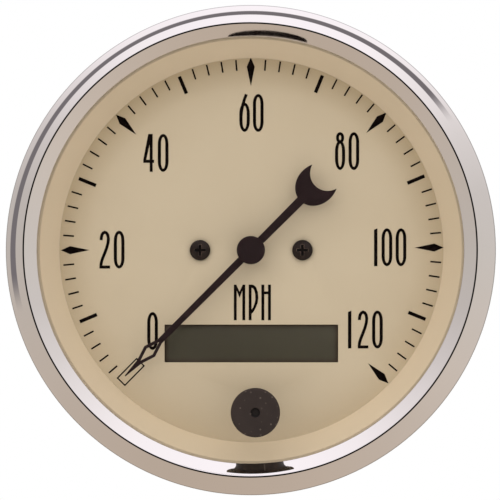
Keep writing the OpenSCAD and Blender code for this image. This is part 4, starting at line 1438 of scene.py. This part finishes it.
@dataclass
class TripButton:
    """Button head with its dimple, the plunger behind it and the bush in the lens."""

    radius: float = 4.67
    back_z: float = 7.867
    front_z: float = 11.867
    edge_r: float = 0.4
    neck_r: float = 3.42
    neck_z: float = 9.75
    flare_r: float = 1.4
    flare_steps: int = 12
    rim_ease: float = 0.06
    dimple: Point = (0.9, 0.6)
    nose: Point = (1.8, 1.0)
    nose_fit: float = 0.02
    stem_r: float = 2.5
    stem_z: float = -5.033
    collar: Triple = (3.6, 2.117, 3.117)
    bore_r: float = 2.55
    bush_r: float = 3.15
    flange_r: float = 4.07
    flange_t: float = 0.6

    def head(self) -> None:
        """Turns the head, with a dimple, a neck that flares to the rim and a socket for the plunger."""
        dimple_r, depth = self.dimple
        nose_r, nose_l = self.nose[0] + self.nose_fit, self.nose[1]
        middle = self.neck_r + self.flare_r
        rim_angle = math.degrees(math.acos((self.radius - middle) / self.flare_r))
        flare = arc((middle, self.neck_z), self.flare_r, rim_angle, 180.0, self.flare_steps)
        head = lathe("button_head", [
            (0, self.front_z - depth, 0), (dimple_r, self.front_z - depth, SOFT),
            (dimple_r, self.front_z, FINE), (self.radius, self.front_z, self.edge_r),
            (*flare[0], self.rim_ease), *((*p, 0) for p in flare[1:]),
            (self.neck_r, self.back_z, SLIGHT), (nose_r, self.back_z, FINE),
            (nose_r, self.back_z + nose_l, 0), (0, self.back_z + nose_l, 0),
        ], centre=BUTTON_AT, steps=CAP_TURN)
        hand_over(head, Body.BUTTON, BUTTON_PLASTIC, "button_cap")

    def plunger(self) -> None:
        """Turns the plunger with its nose and collar."""
        nose_r, nose_l = self.nose
        collar_r, collar_back, collar_front = self.collar
        plunger = lathe("button_plunger", [
            (0, self.back_z + nose_l, 0), (nose_r, self.back_z + nose_l, FINE), (nose_r, self.back_z, 0),
            (self.stem_r, self.back_z, FINE), (self.stem_r, collar_front, 0),
            (collar_r, collar_front, SLIGHT), (collar_r, collar_back, SLIGHT),
            (self.stem_r, collar_back, 0), (self.stem_r, self.stem_z, SOFT), (0, self.stem_z, 0),
        ], centre=BUTTON_AT, steps=SMALL_TURN)
        hand_over(plunger, Body.BUTTON, BLACK_PLASTIC, "button_stem")

    def bush(self) -> None:
        """Turns the rubber bush with its two flanges."""
        back, front = LENS_BACK_Z - self.flange_t, LENS_FRONT_Z + self.flange_t
        bush = lathe("button_bush", [
            (self.bore_r, back, FINE), (self.flange_r, back, SOFT), (self.flange_r, LENS_BACK_Z, HAIR),
            (self.bush_r, LENS_BACK_Z, 0), (self.bush_r, LENS_FRONT_Z, 0),
            (self.flange_r, LENS_FRONT_Z, HAIR), (self.flange_r, front, SOFT), (self.bore_r, front, FINE),
        ], ring=True, centre=BUTTON_AT, steps=SMALL_TURN)
        hand_over(bush, Body.CASE, SEAL_RUBBER, "button_grommet")

    def build(self) -> None:
        """Builds the button's pieces."""
        self.head()
        self.plunger()
        self.bush()


@dataclass
class RearFittings:
    """Studs with their washers and nuts, and the block with four blade terminals."""

    hex_w: float = 7.0
    hex_ease: float = 0.25
    hex_z: Point = (-49.1, -11.433)
    tap: Point = (1.52, 7.3)
    seat: Triple = (2.5, -55.1, 0.8)
    free_end: Triple = (2.085, -70.0, 0.794)
    thread_depth: float = 0.6
    tooth: Point = (0.06, 0.38)
    chamfer: float = 0.6
    thread_steps: int = 40
    rings_per_turn: int = 10
    lap: float = 0.5
    nut_w: float = 8.0
    nut_z: Point = (-54.3, -50.8)
    nut_bore_r: float = 2.52
    nut_face: float = 0.48
    nut_chamfer: Point = (0.1, 0.45)
    nut_steps: int = 72
    nut_ease: float = 0.08
    washer: Point = (2.6, 5.0)
    washer_z: Point = (-50.8, -50.0)
    block_w: float = 39.6
    tongue_w: float = 27.6
    block_h: float = 9.15
    block_z: Triple = (-53.0, -50.0, -47.1)
    block_ease: float = 0.35
    blades: int = 4
    blade_pitch: float = 8.0
    blade: Triple = (0.8, 6.35, 1.2)
    blade_z: Point = (-61.5, -11.433)
    blade_hole: Point = (0.9, 4.25)
    blade_fit: float = 0.02
    rivet: Triple = (1.5, 2.5, 0.8)
    rivet_steps: int = 10
    rivet_hole_r: float = 1.6
    rivet_z: Point = (-53.0, -49.1)

    def rod(self) -> Object:
        """Turns the seat and the free end, and presses a screw thread into each.

        Returns:
            The rod behind the left stud's hexagon.
        """
        seat_r, step_z, seat_pitch = self.seat
        end_r, end_z, end_pitch = self.free_end
        profile = [(0.0, end_z)]
        runs = ((end_r, end_pitch, end_z, step_z), (seat_r, seat_pitch, step_z, self.hex_z[0]))
        for crest, pitch, back, front in runs:
            rings = math.ceil((front - back) / pitch * self.rings_per_turn)
            profile += [(crest, back + (front - back) * i / rings) for i in range(rings + 1)]
        profile.append((0.0, self.hex_z[0]))
        rod = turned("rod", profile, centre=(-STUD_X, 0), steps=self.thread_steps)
        crest_share, root_share = self.tooth
        for vertex in rod.data.vertices:
            x, y, z = vertex.co.x / MM + STUD_X, vertex.co.z / MM, -vertex.co.y / MM
            radius = math.hypot(x, y)
            if radius < seat_r / 2:
                continue
            on_seat = radius > (seat_r + end_r) / 2
            crest, pitch = (seat_r, seat_pitch) if on_seat else (end_r, end_pitch)
            off_crest = abs((z / pitch - math.atan2(y, x) / math.tau) % 1 - 0.5)
            sunk = min(max((off_crest - crest_share) / (root_share - crest_share), 0), 1)
            pressed = crest - self.thread_depth * pitch * sunk
            if not on_seat:
                pressed = min(pressed, end_r - self.chamfer + z - end_z)
            vertex.co = place(x * pressed / radius - STUD_X, y * pressed / radius, z)
        return rod

    def studs(self) -> None:
        """Builds one stepped stud, hexagon and threaded rod, and copies it to the other side."""
        at = (-STUD_X, 0)
        bottom, top = self.hex_z
        stud = plate("stud_pair", [hexagon(at, self.hex_w)], bottom, top)
        ease_edges(stud, self.hex_ease)
        bore_r, bore_l = self.tap
        carve(stud, plate("drill", [circle(at, bore_r, HOLE_TURN)], top - bore_l, top + self.lap))
        stud = paired(join([stud, self.rod()]), STUD_X)
        hand_over(stud, Body.CASE, PLATED_STEEL, "mounting_studs")

    def nuts(self) -> None:
        """Builds one washer and one chamfered nut, and copies them to the other side."""
        at = (-STUD_X, 0)
        back, front = self.washer_z
        bore, rim = self.washer
        corners = [(bore, back, FINE), (rim, back, SLIGHT), (rim, front, SLIGHT), (bore, front, FINE)]
        washer = lathe("washer_pair", corners, ring=True, centre=at, steps=CAP_TURN)
        hand_over(paired(washer, STUD_X), Body.CASE, PLATED_STEEL, "stud_washers")
        back, front = self.nut_z
        corner, flat = self.nut_w / 2 / math.cos(math.pi / 6), self.nut_w * self.nut_face
        past, drop = self.nut_chamfer
        nut = plate("nut_pair", [hexagon(at, self.nut_w)], back, front)
        trim = turned("trim", [(0, back), (flat, back), (corner + past, back + drop),
                               (corner + past, front - drop), (flat, front), (0, front)],
                      centre=at, steps=self.nut_steps)
        carve(nut, trim, Carve.TRIM)
        bore = circle(at, self.nut_bore_r, BORE_TURN)
        carve(nut, plate("drill", [bore], back - self.lap, front + self.lap))
        ease_edges(nut, self.nut_ease)
        hand_over(paired(nut, STUD_X), Body.CASE, PLATED_STEEL, "stud_nuts")

    def terminal_base(self, row: Sequence[float]) -> None:
        """Builds the block with its tongue and cuts it for blades and rivets.

        Args:
            row: Where the blades stand, from left to right.
        """
        back, seat, tongue_front = self.block_z
        middle = (0, TERMINAL_Y)
        base = block("terminal_base", middle, (self.block_w, self.block_h), back, seat)
        ease_edges(base, self.block_ease, segments=3)
        tongue = block("tongue", middle, (self.tongue_w, self.block_h), back + self.lap, tongue_front)
        carve(base, tongue, Carve.WELD)
        slot = tuple(2 * (side / 2 + self.blade_fit) for side in self.blade[:2])
        for x in row:
            carve(base, block("slot", (x, TERMINAL_Y), slot, back - self.lap, tongue_front + self.lap))
        for side in (-1, 1):
            hole = circle((side * RIVET_X, TERMINAL_Y), self.rivet_hole_r, BORE_TURN)
            carve(base, plate("drill", [hole], back - self.lap, seat + self.lap))
        hand_over(base, Body.CASE, BLACK_PLASTIC, "terminal_block")

    def terminals(self) -> None:
        """Builds the block, one blade and one rivet, and copies the last two along the row."""
        first_x = -(self.blades - 1) / 2 * self.blade_pitch
        self.terminal_base([first_x + i * self.blade_pitch for i in range(self.blades)])
        thick, wide, chamfer = self.blade
        tip, root = self.blade_z
        half = wide / 2
        outline = [(-half, root), (-half, tip + chamfer), (chamfer - half, tip), (half - chamfer, tip),
                   (half, tip + chamfer), (half, root)]
        hole_r, hole_rise = self.blade_hole
        loops = [[place(first_x - thick / 2, TERMINAL_Y + y, z) for y, z in loop]
                 for loop in (outline, circle((0, tip + hole_rise), hole_r, HOLE_TURN))]
        blade = slab("blade_row", loops, place(thick, 0, 0))
        ease_edges(blade, FINE)
        copies = [(i * self.blade_pitch, 0) for i in range(1, self.blades)]
        hand_over(repeat_at(blade, copies), Body.CASE, BRASS, "terminal_blades")
        shank, head, head_h = self.rivet
        outer, inner = self.rivet_z
        crown = [(x, outer + (z - outer) * head_h / head, 0)
                 for x, z in arc((0, outer), head, -90, 0, self.rivet_steps)]
        rivet = lathe("rivet_pair", crown + [
            (shank, outer, 0), (shank, inner, 0), (head, inner, FINE), (head, inner + head_h, ROUND),
            (0, inner + head_h, 0)], centre=(-RIVET_X, TERMINAL_Y), steps=SMALL_TURN)
        hand_over(paired(rivet, RIVET_X), Body.CASE, PLATED_STEEL, "terminal_rivets")

    def build(self) -> None:
        """Builds the rear fittings."""
        self.studs()
        self.nuts()
        self.terminals()


@dataclass
class Lamp:
    """Twist-in lamp socket: flange, barrel, finger wing and two lugs."""

    flange_r: float = 8.846
    flange_z: Point = (-51.65, -50.05)
    flange_ease: float = 0.4
    barrel_r: float = 6.25
    barrel_z: Point = (-60.65, -43.1)
    barrel_ease: float = 0.6
    wing: Point = (3.0, 17.69)
    wing_ease: float = 0.4
    lug: Triple = (7.95, 3.6, 1.2)
    lug_z: float = -49.05
    wedge: Triple = (8.2, 2.8, 7.1)
    past: float = 0.5

    def build(self) -> None:
        """Turns the body, welds on wing and lugs, and cuts the bulb's slot."""
        back, front = self.barrel_z
        flange_back, flange_front = self.flange_z
        socket = lathe("lamp_holder", [
            (0, back, 0), (self.barrel_r, back, self.barrel_ease), (self.barrel_r, flange_back, ROUND),
            (self.flange_r, flange_back, self.flange_ease), (self.flange_r, flange_front, SOFT),
            (self.barrel_r, flange_front, 0), (self.barrel_r, front, ROUND), (0, front, 0)], centre=LAMP_AT)
        wing = block("wing", LAMP_AT, self.wing, back, flange_back + self.past)
        ease_edges(wing, self.wing_ease, segments=3)
        carve(socket, wing, Carve.WELD)
        lug_r, lug_w, lug_t = self.lug
        lug_top = self.lug_z + lug_t
        lugs = block("lugs", LAMP_AT, (lug_w, 2 * lug_r), self.lug_z, lug_top)
        trim = plate("trim", [circle(LAMP_AT, lug_r)], self.lug_z - self.past, lug_top + self.past)
        carve(lugs, trim, Carve.TRIM)
        carve(socket, lugs, Carve.WELD)
        carve(socket, block("wedge", LAMP_AT, self.wedge[:2], front - self.wedge[2], front + self.past))
        hand_over(socket, Body.LAMP, BLACK_PLASTIC, "lamp_socket")


@dataclass
class Movement:
    """What stays inside the case as its own solids, with their finishes."""

    FINISHES: ClassVar[dict[str, Finish]] = {
        "dial_pillars": PLATED_STEEL, "lcd_frame": BLACK_PLASTIC, "lcd_contact_strips": SEAL_RUBBER,
        "circuit_board": BOARD_LAMINATE, "board_parts": BLACK_PLASTIC, "trip_switch": BLACK_PLASTIC,
        "bobbin_front": PALE_PLASTIC, "bobbin_rear": PALE_PLASTIC, "coil_inner": COPPER_WIRE,
        "coil_outer": COPPER_WIRE, "coil_pins": BRASS, "flux_can": PLATED_STEEL, "spindle_bush": BRASS,
        "pivot_jewel": JEWEL, "board_screws": PLATED_STEEL, "lamp_bulb": BULB_GLASS,
        "pointer_spindle": PLATED_STEEL, "rotor_magnet": MAGNET, "switch_actuator": PALE_PLASTIC}

    def build(self) -> None:
        """Gives each solid its finish."""
        for name, finish in self.FINISHES.items():
            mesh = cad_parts[name].data
            mesh.materials.clear()
            mesh.materials.append(finish.material())
            LOG.info("%s: %s", name, finish.slot)


@dataclass
class Studio:
    """Camera, lamp, world, floor, and the dome and card that stand for the studio in reflections."""

    camera_at: Triple = (0.0445, -1.6, -0.0105)
    look_at: Triple = (-0.00017, -0.0024, 0.00002)
    lens: float = 606.0
    key_at: Triple = (-0.12, -1.1, 0.88)
    key_size: float = 2.6
    key_power: float = 15.0
    fill: float = 0.71
    dome_r: float = 2.5
    least_across: float = 0.001
    side_glow: float = 0.045
    hood: Point = (11.0, 20.0)
    rear: Point = (146.0, 158.0)
    rear_loss: float = 0.45
    band_at: float = 114.0
    band_reach: Point = (81.0, 71.0)
    band_start: Point = (2.0, 82.5)
    band_end: Point = (-17.0, 119.0)
    band_soft: Point = (1.5, 3.0)
    floor_z: float = -0.3
    floor_size: float = 4.0
    floor_colour: RGB = (0.9, 0.9, 0.9)
    floor_rough: float = 0.8
    floor_fade: Point = (0.25, 1.6)
    card_at: Point = (-4.7, -30.75)
    card_w: float = 11.8
    card_z: Point = (25.2, 26.3)
    card_t: float = 0.2
    card_steps: int = 24
    LEVELS: ClassVar[tuple[Point, ...]] = (
        (-1, 0.43), (-0.5, 0.51), (0, 0.53), (0.26, 0.55), (0.5, 0.655), (0.707, 0.81), (0.866, 0.94),
        (1, 0.99))
    LOW_TINT: ClassVar[RGB] = (1.2, 0.97, 0.79)
    MID_TINT: ClassVar[RGB] = (1.08, 0.98, 0.91)
    HIGH_TINT: ClassVar[RGB] = (1.05, 0.98, 1.02)
    BAND_COLOUR: ClassVar[RGB] = (0.185, 0.165, 0.175)

    def aimed(self, name: str, data: ID, at: Corner, target: Corner) -> Object:
        """Places a camera or lamp and aims it.

        Args:
            name: Name of the object.
            data: The camera or lamp.
            at: Where it goes, in metres.
            target: The point that it looks at.

        Returns:
            The object.
        """
        made = bpy.data.objects.new(name, data)
        made.location = at
        made.rotation_mode = "QUATERNION"
        made.rotation_quaternion = (Vector(target) - Vector(at)).to_track_quat("-Z", "Y")
        bpy.context.scene.collection.objects.link(made)
        return made

    def camera(self) -> None:
        """Sets the camera in front of the dial, a little to the right and below."""
        data = bpy.data.cameras.new("camera")
        data.lens = self.lens
        bpy.context.scene.camera = self.aimed("camera", data, self.camera_at, self.look_at)

    def lamp(self) -> None:
        """Hangs one soft lamp above, to the left and in front."""
        data = bpy.data.lights.new("key", "AREA")
        data.energy = self.key_power
        data.size = self.key_size
        self.aimed("key", data, self.key_at, (0.0, 0.0, 0.0)).visible_glossy = False

    def shine_past(self, *pieces: str) -> None:
        """Lets the lamp shine past pieces, which then throw none of its shadow on the dial.

        Args:
            pieces: Names of the pieces.
        """
        blockers = bpy.data.collections.new("key_blockers")
        bpy.data.objects["key"].light_linking.blocker_collection = blockers
        for name in pieces:
            blockers.objects.link(bpy.data.objects[name])
        for link in blockers.collection_objects:
            link.light_linking.link_state = "EXCLUDE"

    def world(self) -> None:
        """White surroundings for the eye, and a soft even fill for surfaces."""
        scene = bpy.context.scene
        scene.world = bpy.data.worlds.new("studio")
        scene.world.use_nodes = True
        tree = scene.world.node_tree
        path = tree.nodes.new("ShaderNodeLightPath").outputs
        seen = math_node(tree, "MAXIMUM", path["Is Camera Ray"], path["Is Glossy Ray"])
        seen = math_node(tree, "MAXIMUM", seen, path["Is Transmission Ray"])
        level = math_node(tree, "MULTIPLY_ADD", seen, 1.0 - self.fill, self.fill)
        back = tree.nodes["Background"]
        back.inputs["Color"].default_value = (1, 1, 1, 1)
        tree.links.new(level, back.inputs["Strength"])

    def soft_step(self, tree: NodeTree, value: object, low: object, high: object) -> NodeSocket:
        """0 below one value, 1 above another, smooth between.

        Args:
            tree: Node tree that takes the node.
            value: The socket that is looked at.
            low: Where the step starts, as a number or socket.
            high: Where it ends.

        Returns:
            The step.
        """
        step = add_node(tree, "ShaderNodeMapRange", Value=value, From_Min=low, From_Max=high)
        step.interpolation_type = "SMOOTHSTEP"
        return step.outputs[0]

    def only_mirrored(self, piece: Object) -> None:
        """Shows a piece of the studio to reflections alone."""
        for ray in ("camera", "diffuse", "transmission", "shadow", "volume_scatter"):
            setattr(piece, "visible_" + ray, False)

    def sky(self, tree: NodeTree, sine: NodeSocket) -> NodeSocket:
        """The dome's colours, from low to high round the dial's axis.

        Args:
            tree: The dome's node tree.
            sine: Height round the axis, from -1 to 1.

        Returns:
            The colour.
        """
        ramp = add_node(tree, "ShaderNodeValToRGB", Fac=math_node(tree, "MULTIPLY_ADD", sine, 0.5, 0.5))
        stops = ramp.color_ramp.elements
        while len(stops) < len(self.LEVELS):
            stops.new(0.5)
        for stop, (height, level) in zip(stops, self.LEVELS):
            stop.position = (height + 1) / 2
            far = self.HIGH_TINT if height > 0 else self.LOW_TINT
            stop.color = (*(level * (a + (b - a) * abs(height)) for a, b in zip(self.MID_TINT, far)), 1)
        return ramp.outputs[0]

    def dark_band(self, tree: NodeTree, off_axis: NodeSocket, sine: NodeSocket,
                  cosine: NodeSocket) -> NodeSocket:
        """Share of the dark band, which lies across a part of the dome beside the dial.

        Args:
            tree: The dome's node tree.
            off_axis: Angle from the dial's axis, in degrees.
            sine: Height round the axis, from -1 to 1.
            cosine: Place to the right round the axis, from -1 to 1.

        Returns:
            The share, from 0 to 1.
        """
        calc = partial(math_node, tree)
        turn = math.radians(self.band_at)
        along = calc("ADD", calc("MULTIPLY", cosine, math.cos(turn)), calc("MULTIPLY", sine, math.sin(turn)))
        reach = self.soft_step(tree, along, *(math.cos(math.radians(edge)) for edge in self.band_reach))
        start = calc("MULTIPLY_ADD", cosine, *self.band_start)
        end = calc("MULTIPLY_ADD", along, *self.band_end)
        soft_start, soft_end = self.band_soft
        rise = self.soft_step(tree, off_axis, calc("SUBTRACT", start, soft_start),
                              calc("ADD", start, soft_start))
        fall = self.soft_step(tree, off_axis, calc("ADD", end, soft_end), calc("SUBTRACT", end, soft_end))
        return calc("MULTIPLY", calc("MULTIPLY", rise, fall), reach)

    def dome(self) -> None:
        """Hangs the dome: bright above, warm below, a dark band and a dark hood round the camera."""
        bpy.ops.object.select_all(action="DESELECT")
        bpy.ops.mesh.primitive_uv_sphere_add(segments=64, ring_count=32, radius=self.dome_r)
        dome = bpy.context.object
        dome.name = "studio_dome"
        self.only_mirrored(dome)
        material = new_material("studio_dome")
        tree = material.node_tree
        calc = partial(math_node, tree)
        unit = vector_node(tree, "NORMALIZE", object_point(tree))
        axes = add_node(tree, "ShaderNodeSeparateXYZ", Vector=unit.outputs[0]).outputs
        off_axis = calc("DEGREES", calc("ARCCOSINE", calc("MULTIPLY", axes["Y"], -1.0)))
        squares = [calc("MULTIPLY", axes[name], axes[name]) for name in "XZ"]
        across = calc("MAXIMUM", calc("SQRT", calc("ADD", *squares)), self.least_across)
        sine = calc("DIVIDE", axes["Z"], across)
        cosine = calc("DIVIDE", axes["X"], across)
        lit = blend(tree, 1.0, self.sky(tree, sine), calc("MULTIPLY", cosine, self.side_glow), "ADD")
        band = self.dark_band(tree, off_axis, sine, cosine)
        hood = self.soft_step(tree, off_axis, *self.hood)
        rear = self.soft_step(tree, off_axis, *self.rear)
        level = calc("MULTIPLY", calc("MULTIPLY_ADD", rear, -self.rear_loss, 1.0), hood)
        glow = add_node(tree, "ShaderNodeEmission", Strength=level,
                        Color=blend(tree, band, lit, (*self.BAND_COLOUR, 1)))
        tree.links.new(glow.outputs[0], tree.nodes["Material Output"].inputs["Surface"])
        dome.data.materials.append(material)

    def floor(self) -> None:
        """Lays a pale floor below, which fades out before its edge."""
        bpy.ops.object.select_all(action="DESELECT")
        bpy.ops.mesh.primitive_plane_add(size=self.floor_size, location=(0, 0, self.floor_z))
        floor = bpy.context.object
        floor.name = "floor"
        floor.visible_glossy = False
        material = new_material("floor")
        tree = material.node_tree
        shader = tree.nodes["Principled BSDF"]
        shader.inputs["Base Color"].default_value = (*self.floor_colour, 1)
        shader.inputs["Roughness"].default_value = self.floor_rough
        far = vector_node(tree, "LENGTH", object_point(tree)).outputs["Value"]
        see_through(tree, shader, self.soft_step(tree, far, *self.floor_fade))
        floor.data.materials.append(material)

    def card(self) -> None:
        """Hangs a small black card low in front, which the top of the bezel mirrors."""
        bottom, top = self.card_z
        half = self.card_w / 2
        turns = [math.pi * i / self.card_steps for i in range(self.card_steps + 1)]
        edge = [(self.card_at[0] + half * math.cos(t), bottom + (top - bottom) * math.sqrt(math.sin(t)))
                for t in turns]
        card = slab("card", [[place(x, self.card_at[1], z) for x, z in edge]], place(0, self.card_t, 0))
        self.only_mirrored(card)
        card.data.materials.append(DIAL_INK.material())

    def build(self) -> None:
        """Sets up the studio."""
        bpy.context.scene.view_settings.view_transform = "Standard"
        self.camera()
        self.lamp()
        self.world()
        self.dome()
        self.floor()
        self.card()


def main() -> None:
    """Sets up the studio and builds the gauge's pieces in order."""
    logging.basicConfig(level=logging.INFO, format="%(name)s %(message)s")
    studio = Studio()
    for assembly in (studio, Bezel(), Housing(), Dial(), DialPrint(), Pointer(), TripButton(), RearFittings(),
                     Lamp(), Movement()):
        assembly.build()
        LOG.info("built %s", type(assembly).__name__)
    studio.shine_past("button_head", "button_plunger", "button_bush")


if __name__ == "__main__":
    main()
